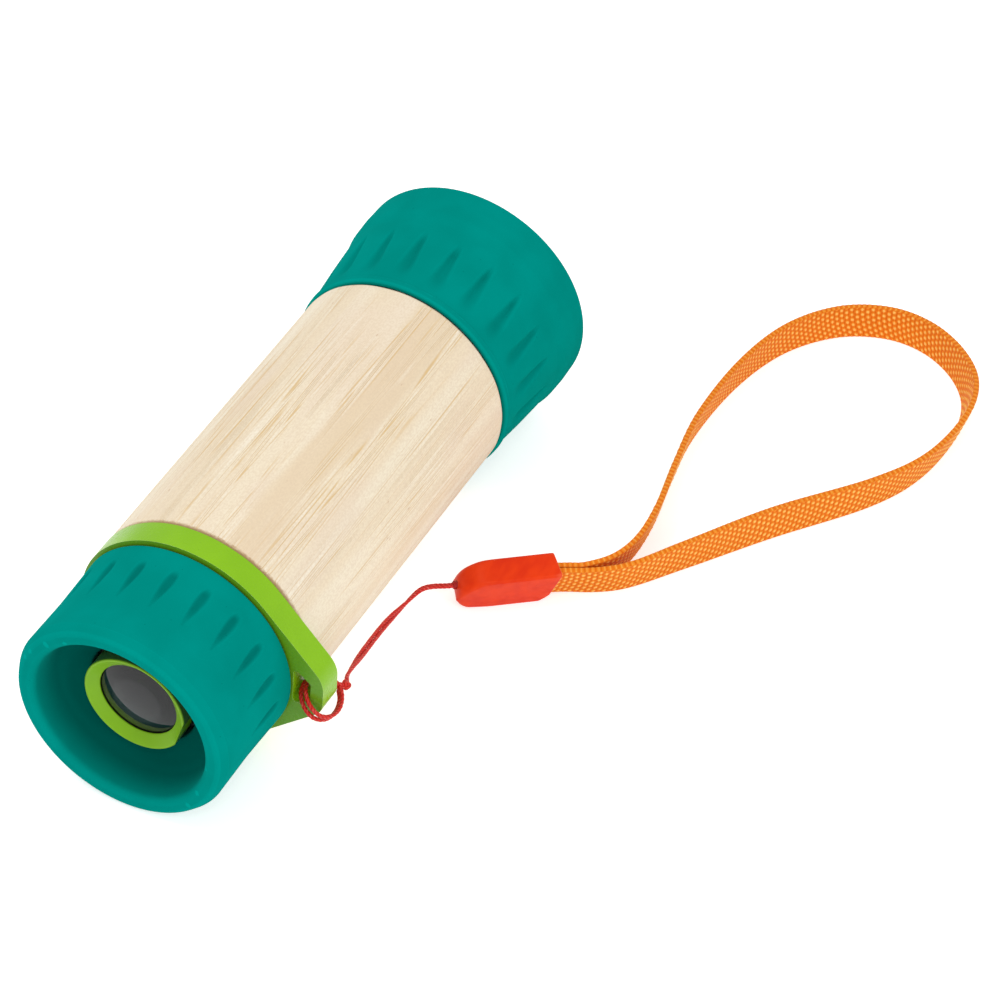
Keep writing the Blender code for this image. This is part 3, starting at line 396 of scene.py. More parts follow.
def cord_finish():
    """Waxed red cord: painted shade, deep red, between the plies, and a painted pinkish highlight on their
    tops.
    """
    f = Finish("cord_look", attribute="weave")
    # Painted shade between the plies and a painted pinkish highlight on their tops.
    rise = f.axis(2)
    colour = f.mix(f.between(rise, 0.1, 0.8), (0.36, 0.005, 0.005), (0.70, 0.020, 0.014))
    wax_and_highlight = f.times(f.between(f.noise(0.5, detail=4.0), 0.5, 0.7), f.between(rise, 0.55, 0.95))
    colour = f.mix(f.times(wax_and_highlight, 0.45), colour, (0.90, 0.30, 0.24))
    fibres = f.noise(0.07, stretch=(8.0, 1.0, 1.0))
    sheen = {"Specular_Tint": (1.0, 0.8, 0.75), "Specular_IOR_Level": 0.35}
    return f.done(colour, 0.27, Normal=f.bump(fibres, 0.02), **sheen)


def clear(name, colour, roughness, depth=0.0, transmission=1.0):
    """Clear or frosted plastic or glass, with faint scuffs."""
    f = Finish(name)
    scuffs = f.noise(0.35, stretch=(1.0, 1.0, 6.0), detail=4.0)
    rough = f.times(f.plus(f.times(scuffs, 0.4), 0.8), roughness)
    tinted = f.mix(f.between(f.noise(4.0), 0.3, 0.7), colour, tuple(0.97 * c for c in colour))
    grain = f.bump(f.noise(0.18, detail=4.0), depth)
    f.unbend(transmission, tinted, f.shader.outputs[0])
    return f.done(tinted, rough, Normal=grain, Transmission_Weight=transmission, IOR=1.49)


def lens_finish():
    """The eye lens: clear when looked into; seen slantwise, a smooth dark grey film of painted shade, a
    little paler in its middle, stands for the unlit inside.
    """
    f = Finish("lens_look")
    tint = f.mix(f.between(f.noise(4.0), 0.3, 0.7), (0.45, 0.46, 0.48), (0.43, 0.44, 0.46))
    # Painted shade: the dark grey film's colour, a little paler in its middle.
    shade = f.mix(f.between(f.radius(), 5.0, 4.4), (0.012, 0.012, 0.013), (0.034, 0.034, 0.036))
    glass = {"Base Color": tint, "Roughness": 0.0, "IOR": 1.38, "Transmission Weight": 1.0}
    glass = f.add("ShaderNodeBsdfPrincipled", glass).outputs[0]
    # The film of painted shade shows more the more slantwise the view.
    along_axis = f.calc("ABSOLUTE", f.part(f.surface("Incoming"), 1))
    painted_shade_share = f.times(f.between(along_axis, 0.97, 0.72), 0.72)
    seen = f.add("ShaderNodeMixShader", {0: painted_shade_share, 1: glass, 2: f.shader.outputs[0]}).outputs[0]
    f.unbend(1.0, tint, seen)
    return f.done(shade, 0.04, IOR=1.5)


def soft_black(name, colour, grain, depth, roughness=0.9):
    """Foam, card or felt: dark and rough, with its own grain."""
    f = Finish(name)
    fine = f.noise(grain, detail=5.0)
    dark, pale = (tuple(share * channel for channel in colour) for share in (0.6, 1.3))
    mixed = f.mix(f.between(fine, 0.35, 0.65), dark, pale)
    return f.done(mixed, roughness, Normal=f.bump(fine, depth), Specular_IOR_Level=0.2)


def mirror_finish():
    """Front-silvered acrylic strip with faint haze."""
    f = Finish("mirror_look")
    haze = f.between(f.noise(3.0, detail=4.0), 0.5, 0.8)
    rough = f.plus(f.times(haze, 0.05), 0.02)
    return f.done(f.mix(haze, (0.70, 0.72, 0.74), (0.62, 0.64, 0.66)), rough, Metallic=1.0)


TEAL = silicone()
GREEN = green_plastic()
MOUNT_GREEN = mount_plastic()
BLACK = black_plastic()
RED = red_plastic()
BAMBOO = bamboo()
WEBBING = webbing_finish()
CORD = cord_finish()
LENS = lens_finish()
CLEAR = clear("clear_plastic_look", (0.93, 0.95, 0.95), 0.04)
FROSTED = clear("frosted_plastic_look", (0.94, 0.95, 0.94), 0.34, 0.02)
SILVER = mirror_finish()
FOAM = soft_black("foam_look", (0.03, 0.03, 0.03), 0.5, 0.12)
CARD = soft_black("card_look", (0.012, 0.012, 0.012), 0.25, 0.03)
FELT = soft_black("felt_look", (0.30, 0.30, 0.28), 0.3, 0.1, 0.95)
BEAD_COLOURS = {
    "red": (0.80, 0.03, 0.05),
    "yellow": (0.95, 0.66, 0.04),
    "blue": (0.04, 0.17, 0.85),
    "green": (0.06, 0.58, 0.15),
    "pink": (0.95, 0.24, 0.50),
    "violet": (0.42, 0.08, 0.70),
    "cyan": (0.05, 0.62, 0.80),
    "clear": (0.90, 0.93, 0.96),
    "orange": (0.95, 0.32, 0.03),
}


# --- Grids of points ---


def filleted(outline, closed=True, step=radians(8.0)):
    """Outline entries (a, b) or (a, b, radius) as points, with an arc at each corner with a radius."""
    points = []
    count = len(outline)
    for index, entry in enumerate(outline):
        corner = Vector(entry[:2])
        inner = closed or 0 < index < count - 1
        if len(entry) == 2 or not inner:
            points.append(corner)
            continue
        before = (Vector(outline[index - 1][:2]) - corner).normalized()
        after = (Vector(outline[(index + 1) % count][:2]) - corner).normalized()
        half = 0.5 * before.angle(after)
        centre = corner + (before + after).normalized() * (entry[2] / sin(half))
        start = corner + before * (entry[2] / tan(half)) - centre
        sweep = start.angle_signed(corner + after * (entry[2] / tan(half)) - centre)
        steps = max(2, ceil(abs(sweep) / step))
        for i in range(steps + 1):
            points.append(centre + Matrix.Rotation(-sweep * i / steps, 2) @ start)
    return points


def even(points, spacing, closed=True):
    """The same line with its long runs divided, as an array."""
    result = []
    pairs = list(zip(points, points[1:] + points[:1]))
    for start, end in pairs if closed else pairs[:-1]:
        steps = max(1, ceil((end - start).length / spacing))
        result += [start.lerp(end, i / steps) for i in range(steps)]
    if not closed:
        result.append(points[-1])
    return np.array([tuple(p) for p in result])


def grid_object(name, points, finish, wrap_rows=True, weave=None):
    """A smooth closed object from a (rows, columns, 3) grid in millimetres; poles are rows at one point."""
    rows, columns = points.shape[:2]
    index = np.arange(rows * columns).reshape(rows, columns)
    right = np.roll(index, -1, axis=1)
    faces = np.stack([index, right, np.roll(right, -1, axis=0), np.roll(index, -1, axis=0)], axis=-1)
    if not wrap_rows:
        faces = faces[:-1]
    faces = faces.reshape(-1, 4)
    mesh = bpy.data.meshes.new(name)
    mesh.vertices.add(rows * columns)
    mesh.vertices.foreach_set("co", (points * MM).astype(np.float32).ravel())
    mesh.loops.add(faces.size)
    mesh.loops.foreach_set("vertex_index", faces.astype(np.int32).ravel())
    mesh.polygons.add(len(faces))
    mesh.polygons.foreach_set("loop_start", np.arange(0, faces.size, 4, dtype=np.int32))
    mesh.update(calc_edges=True)
    if weave is not None:
        layer = mesh.attributes.new("weave", "FLOAT_VECTOR", "POINT")
        layer.data.foreach_set("vector", weave.astype(np.float32).ravel())
    tidy(mesh)
    return add_object(name, mesh, finish)


def tidy(mesh):
    """Weld coincident points, drop what collapsed, face outwards and shade smooth."""
    shape = bmesh.new()
    shape.from_mesh(mesh)
    bmesh.ops.remove_doubles(shape, verts=shape.verts, dist=1e-7)
    bmesh.ops.recalc_face_normals(shape, faces=shape.faces)
    shape.to_mesh(mesh)
    shape.free()
    mesh.shade_smooth()


def add_object(name, data, finish):
    """Link data as a named object with one material."""
    data.materials.append(finish)
    made = bpy.data.objects.new(name, data)
    bpy.context.scene.collection.objects.link(made)
    return made


def turned(name, outline, finish, count=ROUND, spacing=1.0, relief=None, solid=False):
    """A piece turned about the optical axis from (radius, y) or (radius, y, fillet) entries."""
    line = even(filleted(outline, closed=not solid), spacing, closed=not solid)
    radius = np.repeat(line[:, :1], count, axis=1)
    y = np.repeat(line[:, 1:], count, axis=1)
    angle = np.broadcast_to(np.arange(count) * tau / count, radius.shape)
    # hollow_shade is the relief's third value, how much painted shade each point gets; it goes to the weave
    # attribute.
    hollow_shade = 0.0 * radius
    if relief is not None:
        radius, y, hollow_shade = relief(radius, y, angle)
    points = np.stack([radius * np.cos(angle), y, radius * np.sin(angle)], axis=-1)
    return grid_object(name, points, finish, wrap_rows=not solid, weave=np.stack([hollow_shade] * 3, axis=-1))


def tube_outline(outer, inner, near, far, fillets):
    """A plain ring's outline; fillets are at its outer far, outer near, inner near and inner far edges."""
    corners = ((outer, far), (outer, near), (inner, near), (inner, far))
    return [(*corner, fillet) for corner, fillet in zip(corners, fillets)]


def settle(piece, body, slot, *nodes):
    """Put a finished piece on its body, standing for its CAD nodes; slot is not used."""
    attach(piece, body)
    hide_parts(*nodes)
    return piece


def smooth(value, low, high):
    """0 at low and 1 at high, smooth between."""
    t = np.clip((value - low) / (high - low), 0.0, 1.0)
    return t * t * (3.0 - 2.0 * t)


# --- Tube and strap ring ---


def tube_relief(radius, y, angle):
    """Sanded bamboo is never quite round or straight: broad, shallow flats along the tube."""
    outside = radius > TUBE_R - 0.5
    facets = 0.03 * np.sin(7.0 * angle + 0.04 * y) + 0.02 * np.sin(17.0 * angle + 1.3)
    fibres = 0.006 * np.sin(131.0 * angle + 0.5 * np.sin(0.2 * y)) * np.sin(0.11 * y + 9.0 * angle)
    return radius + np.where(outside, facets + fibres - 0.05, 0.0), y, 0.0 * radius


def build_tube():
    """Bamboo tube with softened ends."""
    bore = 17.0
    outline = tube_outline(TUBE_R, bore, TUBE_NEAR, TUBE_FAR, (0.8, 0.8, 0.4, 0.4))
    tube = turned("bamboo_body", outline, BAMBOO, relief=tube_relief)
    settle(tube, "tube", "bamboo", "bamboo_tube")


RING_R = 21.1
RING_BORE_R = 17.0
RING_EDGE = 0.6
LUG_ANGLE = radians(-4.0)
LUG_SPREAD = radians(45.0)
LUG_REACH = 26.3
LUG_HOLE = ((20.5, -4.4), (23.9, -1.9), (23.9, 1.9), (20.5, 4.4))


def ring_outlines():
    """The strap ring's outside with its pointed lug, its bore and the lug's hole."""
    steps = 120
    sweep = tau - 2.0 * LUG_SPREAD
    outside = []
    for step in range(steps + 1):
        angle = LUG_SPREAD + sweep * step / steps
        outside.append((RING_R * cos(angle), RING_R * sin(angle)))
    half_nose = (RING_R - LUG_REACH * cos(LUG_SPREAD)) / sin(LUG_SPREAD)
    outside += [(LUG_REACH, -half_nose, 4.2), (LUG_REACH, half_nose, 5.5)]
    bore = [Matrix.Rotation(tau * i / steps, 2) @ Vector((RING_BORE_R, 0.0)) for i in range(steps)]
    hole = [(x, z, 0.7) for x, z in LUG_HOLE]
    return filleted(outside), bore, filleted(hole)


def flat_mesh(outlines, thickness):
    """A plate in X and Y of the given thickness; outlines after the first are holes in it."""
    curve = bpy.data.curves.new("outline", "CURVE")
    curve.dimensions = "2D"
    curve.fill_mode = "BOTH"
    curve.extrude = 0.5 * thickness * MM
    for outline in outlines:
        spline = curve.splines.new("POLY")
        spline.points.add(len(outline) - 1)
        for point, target in zip(outline, spline.points):
            target.co = (point[0] * MM, point[1] * MM, 0.0, 1.0)
        spline.use_cyclic_u = True
    flat = bpy.data.objects.new("outline", curve)
    bpy.context.scene.collection.objects.link(flat)
    mesh = applied_mesh(flat)
    bpy.data.objects.remove(flat)
    tidy(mesh)
    return mesh


def applied_mesh(source):
    """A mesh of an object as its modifiers leave it."""
    bpy.context.view_layer.update()
    return bpy.data.meshes.new_from_object(source.evaluated_get(bpy.context.evaluated_depsgraph_get()))


def round_edges(piece, width, segments=5):
    """Round the sharp edges of a plate and keep its flats flat."""
    bevel = piece.modifiers.new("Rounded edges", "BEVEL")
    bevel.width = width * MM
    bevel.segments = segments
    bevel.limit_method = "ANGLE"
    bevel.angle_limit = radians(50.0)
    piece.modifiers.new("Even shading", "WEIGHTED_NORMAL").weight = 100


def build_ring():
    """Green ring with rounded edges and a pointed lug."""
    ring = add_object("strap_ring_body", flat_mesh(ring_outlines(), RING_FAR - RING_NEAR), GREEN)
    round_edges(ring, RING_EDGE)
    ring.matrix_world = (
        Matrix.Translation((0.0, 0.5 * (RING_NEAR + RING_FAR) * MM, 0.0))
        @ Matrix.Rotation(radians(90.0), 4, "X")
        @ Matrix.Rotation(LUG_ANGLE, 4, "Z")
    )
    settle(ring, "tube", "green_plastic", "strap_ring")


# --- Silicone pieces ---

GRIPS = 20
PITCH = tau / GRIPS


def grip_place(angle, phase):
    """Signed distance, in turns of the pitch, from the nearest grip hollow."""
    turns = (angle - phase) / PITCH
    return turns - np.round(turns)


def drop_depth(along, across, length, half_width, belly):
    """Depth (0 to 1) of a flat-bottomed drop: round at along 0, widest at belly, pointed at length."""
    t = np.clip(along / length, 0.0, 1.0)
    round_end = np.sqrt(np.clip(1.0 - ((belly - t) / belly) ** 2, 0.0, 1.0))
    tail = np.clip(1.0 - (t - belly) / (1.0 - belly), 0.0, 1.0) ** 0.55
    width = half_width * np.where(t < belly, round_end, tail) + 1e-6
    inside = smooth(1.0 - np.abs(across) / width, 0.0, 0.75)
    return inside * smooth(t, 0.0, 0.16) * (1.0 - 0.75 * smooth(t, 0.45, 1.0))


def flute_depth(along, across, length, half_width):
    """Depth (0 to 1) of a long flute: shallow and broad at along 0, narrowing to a point at length."""
    t = np.clip(along / length, 0.0, 1.0)
    width = half_width * (0.12 + 0.88 * (1.0 - t) ** 0.9)
    inside = np.where(np.abs(across) < width, 0.5 + 0.5 * np.cos(pi * across / width), 0.0)
    return inside * smooth(t, 0.0, 0.38) * (1.0 - smooth(t, 0.72, 1.0))


def cup_relief(radius, y, angle):
    """Twenty drop-shaped hollows, round end towards the ring, and a faint moulded waviness."""
    outside = radius > CUP_R - 1.4
    across = grip_place(angle, radians(13.6)) * PITCH * CUP_R
    drop = np.where(outside, drop_depth((CUP_EDGE - 3.6) - y, across, 9.3, 1.2, 0.34), 0.0)
    swell = 0.025 * np.sin(3.0 * angle + 0.7) * smooth(radius, CUP_R - 1.6, CUP_R - 0.5)
    # The third value is how much painted shade the hollow gets.
    return radius + swell - 0.4 * drop, y, drop


def build_eyecup():
    """Teal eyecup: skirt, thick rounded lip and a dished bowl round the eyepiece."""
    lip_r = 16.6
    floor_y = BEZEL_FACE + 3.3
    back_y = BEZEL_FAR - 4.3
    hole_r = BEZEL_R + 0.5
    outline = [
        (CUP_R, CUP_EDGE, 0.55),
        (CUP_RIM_R - 0.14, 0.5 * (CUP_EDGE + CUP_RIM), 40.0),
        (CUP_RIM_R, CUP_TOUCH - 0.4, 0.35),
        (CUP_RIM_R - 1.0, CUP_RIM, 1.3),
        (lip_r, CUP_RIM, 1.6),
        (lip_r - 1.4, floor_y, 4.5),
        (hole_r, floor_y, 0.35),
        (hole_r, back_y),
        (RING_BORE_R, back_y),
        (RING_BORE_R, CUP_EDGE),
    ]
    cup = turned("eyecup_silicone", outline, TEAL, spacing=0.35, relief=cup_relief)
    settle(cup, "tube", "teal_silicone", "eyecup")


CAP_STEP = CAP_FAR - 10.8


def cap_relief(radius, y, angle):
    """Twenty long flutes, broad at the tube's side and pointed towards the rim."""
    outside = radius > CAP_R - 3.0
    across = grip_place(angle, radians(5.2)) * PITCH * CAP_R
    along = y - (CAP_NEAR + BEAD_WIDTH + 0.5)
    leaning = across - 0.5 * smooth(along, 0.0, 13.2)
    outside = outside & (y < CAP_FAR - 1.0)
    flute = np.where(outside, flute_depth(along, leaning, 13.6, 2.7), 0.0)
    swell = np.where(outside, 0.03 * np.sin(4.0 * angle + 1.1), 0.0)
    # The third value is how much painted shade the flute gets.
    return radius + swell - 0.75 * flute, y, 0.45 * flute


def build_cap():
    """Teal grip cap: rolled edge, flared fluted side, thick rim and the inner lip round the window."""
    seat_r = 20.2
    seat_y = 0.0
    lip_r = 18.3
    near_r = CAP_R - 1.8
    outline = [
        (CAP_R - 0.15, CAP_FAR, 1.35),
        (CAP_R, CAP_TOUCH, 5.0),
        (CAP_R - 0.12, CAP_STEP + 2.9, 1.5),
        (CAP_R - 0.62, CAP_STEP + 0.5, 2.0),
        (CAP_R - 1.15, 0.6 * CAP_STEP + 0.4 * CAP_NEAR, 20.0),
        (near_r - 0.05, CAP_NEAR + BEAD_WIDTH + 1.1, 2.0),
        (near_r - 0.12, CAP_NEAR + BEAD_WIDTH, 0.3),
        (near_r + 0.16, CAP_NEAR + 0.85 * BEAD_WIDTH, 0.35),
        (near_r + 0.1, CAP_NEAR, 0.6),
        (seat_r, CAP_NEAR, 0.3),
        (seat_r, seat_y, 0.2),
        (lip_r, seat_y, 0.2),
        (lip_r, CAP_FAR, 0.45),
    ]
    cap = turned("grip_cap_silicone", outline, TEAL, spacing=0.35, relief=cap_relief)
    settle(cap, "chamber", "teal_silicone", "grip_cap")


# --- Eyepiece ---

LENS_EDGE = 1.2
CLIP_BORE_R = 6.6
LENS_SETBACK = 0.8  # behind its CAD place, because the mount's face is dished


def bezel_relief(radius, y, angle):
    """A small flat on the rim, low on the lug's side."""
    rim = radius > BEZEL_R - 0.9
    away = angle - radians(-19.0)
    turn = np.arctan2(np.sin(away), np.cos(away))
    flat = (BEZEL_R - 0.55) / np.cos(np.clip(turn, -0.6, 0.6))
    cut = np.minimum(radius, np.maximum(flat, 0.0) + (radius - BEZEL_R) * 0.4)
    return np.where(rim, cut, radius), y, 0.0 * radius


def build_bezel():
    """Green lens mount: a short barrel, a dished face down to the mouth, and a neck into the core."""
    opening = 7.46
    seat = LENS_R + 0.3
    mouth_y = BEZEL_FACE + BEZEL_DISH
    lip_y = mouth_y + 0.35
    seat_y = BEZEL_FACE + 5.0
    neck_r = 8.3
    back_y = BEZEL_FAR - 4.3
    outline = [
        (BEZEL_R, back_y),
        (BEZEL_R, BEZEL_FACE, 0.3),
        (opening, mouth_y, 0.2),
        (opening, lip_y),
        (seat, lip_y),
        (seat, seat_y),
        (CLIP_BORE_R, seat_y),
        (CLIP_BORE_R, BEZEL_FAR),
        (neck_r, BEZEL_FAR),
        (neck_r, back_y),
    ]
    bezel = turned("eyepiece_mount", outline, MOUNT_GREEN, MIDDLE_ROUND, 0.5, bezel_relief)
    settle(bezel, "tube", "green_plastic", "eyepiece_bezel")


def build_lens():
    """Double convex lens with a short ground edge, and the black ring that holds it."""
    middle = 0.5 * (LENS_NEAR + LENS_FAR) + LENS_SETBACK
    sag = 0.5 * (LENS_FAR - LENS_NEAR - LENS_EDGE)
    ball_r = (LENS_R**2 + sag**2) / (2.0 * sag)
    steps = 28
    line = []
    for side in (-1.0, 1.0):
        face = []
        for step in range(steps + 1):
            radius = LENS_R * step / steps
            height = sqrt(ball_r**2 - radius**2) - (ball_r - sag)
            face.append((radius, middle + side * (0.5 * LENS_EDGE + height)))
        line += face if side < 0.0 else face[::-1]
    lens = turned("eye_lens_glass", line, LENS, SMALL_ROUND, 2.0, solid=True)
    settle(lens, "tube", "clear_lens", "eye_lens")
    near = middle + 0.5 * LENS_EDGE + 0.65
    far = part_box("lens_clip")[1].y / MM
    outline = tube_outline(LENS_R, CLIP_BORE_R, near, far, (0.12,) * 4)
    clip = turned("lens_clip_ring", outline, BLACK, SMALL_ROUND, 0.4)
    settle(clip, "tube", "black_plastic", "lens_clip")


# --- Far window and beads ---


def build_window():
    """Frosted window with its raised face, and the green ring that locks it."""
    boss_r = LOCK_R - 2.0
    step_y = WINDOW_FAR - 1.9
    outline = [
        (0.0, WINDOW_FAR),
        (boss_r, WINDOW_FAR, 0.3),
        (boss_r, step_y),
        (WINDOW_R, step_y, 0.2),
        (WINDOW_R, WINDOW_NEAR, 0.2),
        (0.0, WINDOW_NEAR),
    ]
    window = turned("frosted_window", outline, FROSTED, SMALL_ROUND, 0.8, solid=True)
    settle(window, "chamber", "frosted_plastic", "outer_window")
    outline = tube_outline(LOCK_R, boss_r + 0.3, LOCK_NEAR, LOCK_FAR, (0.45, 0.2, 0.2, 0.45))
    ring = turned("window_lock_ring", outline, GREEN, MIDDLE_ROUND, 0.4)
    settle(ring, "chamber", "green_plastic", "window_ring")


def bead_round(node, colour):
    """A pressed glass bead: round, with a dimple at each end of its hole."""
    pinch = 0.3
    low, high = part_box(node)
    centre = (low + high) / (2.0 * MM)
    size = (high - low) / (2.0 * MM)
    rows, columns = 24, 36
    tilt = np.linspace(0.0, pi, rows)[:, None]
    turn = (np.arange(columns) * tau / columns)[None, :]
    shrink = 1.0 - pinch * np.exp(-((np.sin(tilt) / 0.28) ** 2))
    wave = 1.0 - 0.03 * np.cos(6.0 * turn) * np.sin(tilt) ** 2
    x = centre.x + size.x * np.sin(tilt) * np.cos(turn) * wave
    z = centre.z + size.z * np.sin(tilt) * np.sin(turn) * wave
    y = centre.y + size.y * np.cos(tilt) * shrink * np.ones_like(turn)
    bead = grid_object(f"{node}_glass", np.stack([x, y, z], axis=-1), BEADS[colour], wrap_rows=False)
    settle(bead, "beads", f"bead_{colour}", node)


BEADS = {name: clear(f"bead_{name}_look", tint, 0.06, 0.01, 0.75) for name, tint in BEAD_COLOURS.items()}
ROUND_BEADS = {
    "round_bead_red": "red",
    "round_bead_blue": "blue",
    "flat_bead_pink": "pink",
    "round_bead_cyan": "cyan",
    "round_bead_clear": "clear",
}
CHIPS = {
    "star_chip": "yellow",
    "triangle_chip": "green",
    "flower_chip": "violet",
    "bugle_bead_orange": "orange",
}


def build_beads():
    """Round beads are remade smooth; the cut chips keep their shape, softened at the edges."""
    for node, colour in ROUND_BEADS.items():
        bead_round(node, colour)
    for node, colour in CHIPS.items():
        chip = frame["nodes"][node]
        repaint(node, BEADS[colour])
        bevel = chip.modifiers.new("Softened edges", "BEVEL")
        bevel.width = 0.18 * MM
        bevel.segments = 3
        bevel.angle_limit = radians(40.0)


# --- Cord ---

CORD_R = 0.4
PLIES = 3
PLY_PITCH = 2.4
KNOT_SIZE = 0.56
HITCH_R = 4.2
HITCH_LEAN = radians(38.5)
HITCH_SPREAD = 0.4  # how much further apart the loops are across from the knot
HITCH_RISE = 0.5  # the loops sit this much above the joint's centre, clear of the hole's lower corner
HITCH_OUTER = 3.15  # the loops' reach beyond the lug's nose, where they lie closer
HITCH_ACROSS = Vector((cos(HITCH_LEAN), 0.0, -sin(HITCH_LEAN)))
HITCH_NORMAL = Vector((sin(HITCH_LEAN), 0.0, cos(HITCH_LEAN)))


def line_length(line):
    """Distance along a line of points, at each point."""
    return np.concatenate([[0.0], np.cumsum(np.linalg.norm(np.diff(line, axis=0), axis=1))])


def units(vectors):
    """The same vectors, each one unit long."""
    return vectors / np.linalg.norm(vectors, axis=1)[:, None]


def resampled(line, spacing):
    """The same line with points at even distances."""
    line = np.array([tuple(p) for p in line])
    along = line_length(line)
    wanted = np.linspace(0.0, along[-1], max(2, round(along[-1] / spacing) + 1))
    return np.stack([np.interp(wanted, along, line[:, i]) for i in range(3)], axis=-1)


def side_frames(line, closed):
    """Two unit vectors across the line at each point, turning as little as possible along it."""
    after = np.roll(line, -1, axis=0) if closed else np.concatenate([line[1:], line[-1:]])
    before = np.roll(line, 1, axis=0) if closed else np.concatenate([line[:1], line[:-1]])
    tangents = units(after - before)
    first = np.cross(tangents[0], (0.3, 0.1, 1.0))
    sides = [first / np.linalg.norm(first)]
    for tangent in tangents[1:]:
        side = sides[-1] - tangent * np.dot(sides[-1], tangent)
        sides.append(side / np.linalg.norm(side))
    sides = np.array(sides)
    return sides, np.cross(tangents, sides)


def twisted_grid(line, radius, closed=False, start=0.0):
    """Grid and weave values of a plied cord along a line; open ends taper to a point."""
    count = 24
    sides, ups = side_frames(line, closed)
    along = line_length(line)[:, None]
    angle = (np.arange(count) * tau / count)[None, :]
    ply = np.abs(np.cos(0.5 * PLIES * (angle - tau * (along + start) / PLY_PITCH))) ** 0.7
    lumps = 0.03 * np.sin(along * 1.7 + start) + 0.02 * np.sin(along * 5.3 + 2.0 * start)
    reach = radius * (0.80 + 0.20 * ply + lumps)
    if not closed:
        ends = np.minimum(along, along[-1] - along) / (0.6 * radius)
        reach = reach * np.sqrt(np.clip(1.0 - (1.0 - np.clip(ends, 0.0, 1.0)) ** 2, 0.0, 1.0))
    across = np.cos(angle)[..., None] * sides[:, None] + np.sin(angle)[..., None] * ups[:, None]
    points = line[:, None] + reach[..., None] * across
    weave = np.stack([along + 0.0 * angle, angle * radius + 0.0 * along, ply], axis=-1)
    return points, weave


def hitch_line():
    """Two loops of one cord through the lug's hole, side by side at the knot and apart beyond it."""
    away = KNOT - HITCH_CENTRE
    knot_angle = atan2(away.dot(HITCH_ACROSS), away.y)
    clear_angle = radians(9.0)
    steps = 80
    line = [KNOT.copy()]
    for side in (-1.0, 1.0):
        for step in range(steps + 1):
            turn = clear_angle + (tau - 2.0 * clear_angle) * step / steps
            angle = knot_angle + turn
            spread = 0.5 - 0.5 * cos(turn)
            lift = side * (1.02 * CORD_R + HITCH_SPREAD * spread) + HITCH_RISE * spread
            reach = HITCH_R - 0.1 * spread
            along_axis = cos(angle) * reach
            over = sin(angle) * (HITCH_OUTER if sin(angle) > 0.0 else reach)
            point = along_axis * Vector((0.0, 1.0, 0.0)) + over * HITCH_ACROSS
            line.append(HITCH_CENTRE + point + lift * HITCH_NORMAL)
    line.append(KNOT.copy())
    return resampled(rounded_line(line), 0.16)


def rounded_line(line):
    """Cut a line's corners twice."""
    for _ in range(2):
        cut = [line[0]]
        for a, b in zip(line, line[1:]):
            cut += [a.lerp(b, 0.25), a.lerp(b, 0.75)]
        line = cut + [line[-1]]
    return line


def knot_line(size):
    """A trefoil: the path of a simple knot, lying across the cord."""
    turn = np.linspace(0.0, tau, 150, endpoint=False)
    x = (np.sin(turn) + 2.0 * np.sin(2.0 * turn)) / 3.0
    y = (np.cos(turn) - 2.0 * np.cos(2.0 * turn)) / 3.0
    z = -0.55 * np.sin(3.0 * turn)
    along = (KNOT - HITCH_CENTRE).normalized()
    across = along.cross(HITCH_NORMAL).normalized()
    basis = np.array([tuple(across), tuple(HITCH_NORMAL), tuple(along)])
    return np.array(tuple(KNOT)) + size * np.stack([x, y, z], axis=-1) @ basis


def build_hitch():
    """Two turns of cord through the lug's hole, and the knot that closes them."""
    points, weave = twisted_grid(hitch_line(), CORD_R)
    coil = grid_object("cord_hitch_turns", points, CORD, wrap_rows=False, weave=weave)
    settle(coil, "hitch", "red_cord", "cord_hitch")
    points, weave = twisted_grid(knot_line(KNOT_SIZE), 1.1 * CORD_R, closed=True)
    knot = grid_object("cord_knot_wraps", points, CORD, weave=weave)
    settle(knot, "hitch", "red_cord", "cord_knot")


def catmull_rom(waypoints, spacing):
    """Points about one spacing apart on a smooth curve through the waypoints."""
    ends = [2 * waypoints[0] - waypoints[1]] + list(waypoints) + [2 * waypoints[-1] - waypoints[-2]]
    path = []
    for p0, p1, p2, p3 in zip(ends, ends[1:], ends[2:], ends[3:]):
        steps = max(1, round((p2 - p1).length / spacing))
        for step in range(steps):
            t = step / steps
            linear = (p2 - p0) * t
            square = (2 * p0 - 5 * p1 + 4 * p2 - p3) * t**2
            cube = (3 * p1 - p0 - 3 * p2 + p3) * t**3
            path.append(0.5 * (2 * p1 + linear + square + cube))
    path.append(waypoints[-1].copy())
    return path


STRAND_R = 0.35
STRAND_GAP = 0.33
KNOT_CLEAR = 0.9  # the strands start this far from the knot's middle
CORD_FACE = (0.34, -0.64, 0.69)  # the doubled cord's flat faces this way
DROOP = ((24.0, -88.4, -8.0), (21.1, -72.8, -13.4), (20.3, -63.0, -16.4))


def cord_centre():
    """The doubled cord's middle line: out of the knot, drooping to the table, into the sleeve's nose."""
    inside = MOUTH + 5.0 * SLEEVE_X
    droop = [Vector(point) for point in DROOP]
    start = KNOT + KNOT_CLEAR * (droop[0] - KNOT).normalized()
    waypoints = [start] + droop + [MOUTH - 4.6 * SLEEVE_X, MOUTH, inside]
    return resampled(catmull_rom(waypoints, 0.5), 0.2)


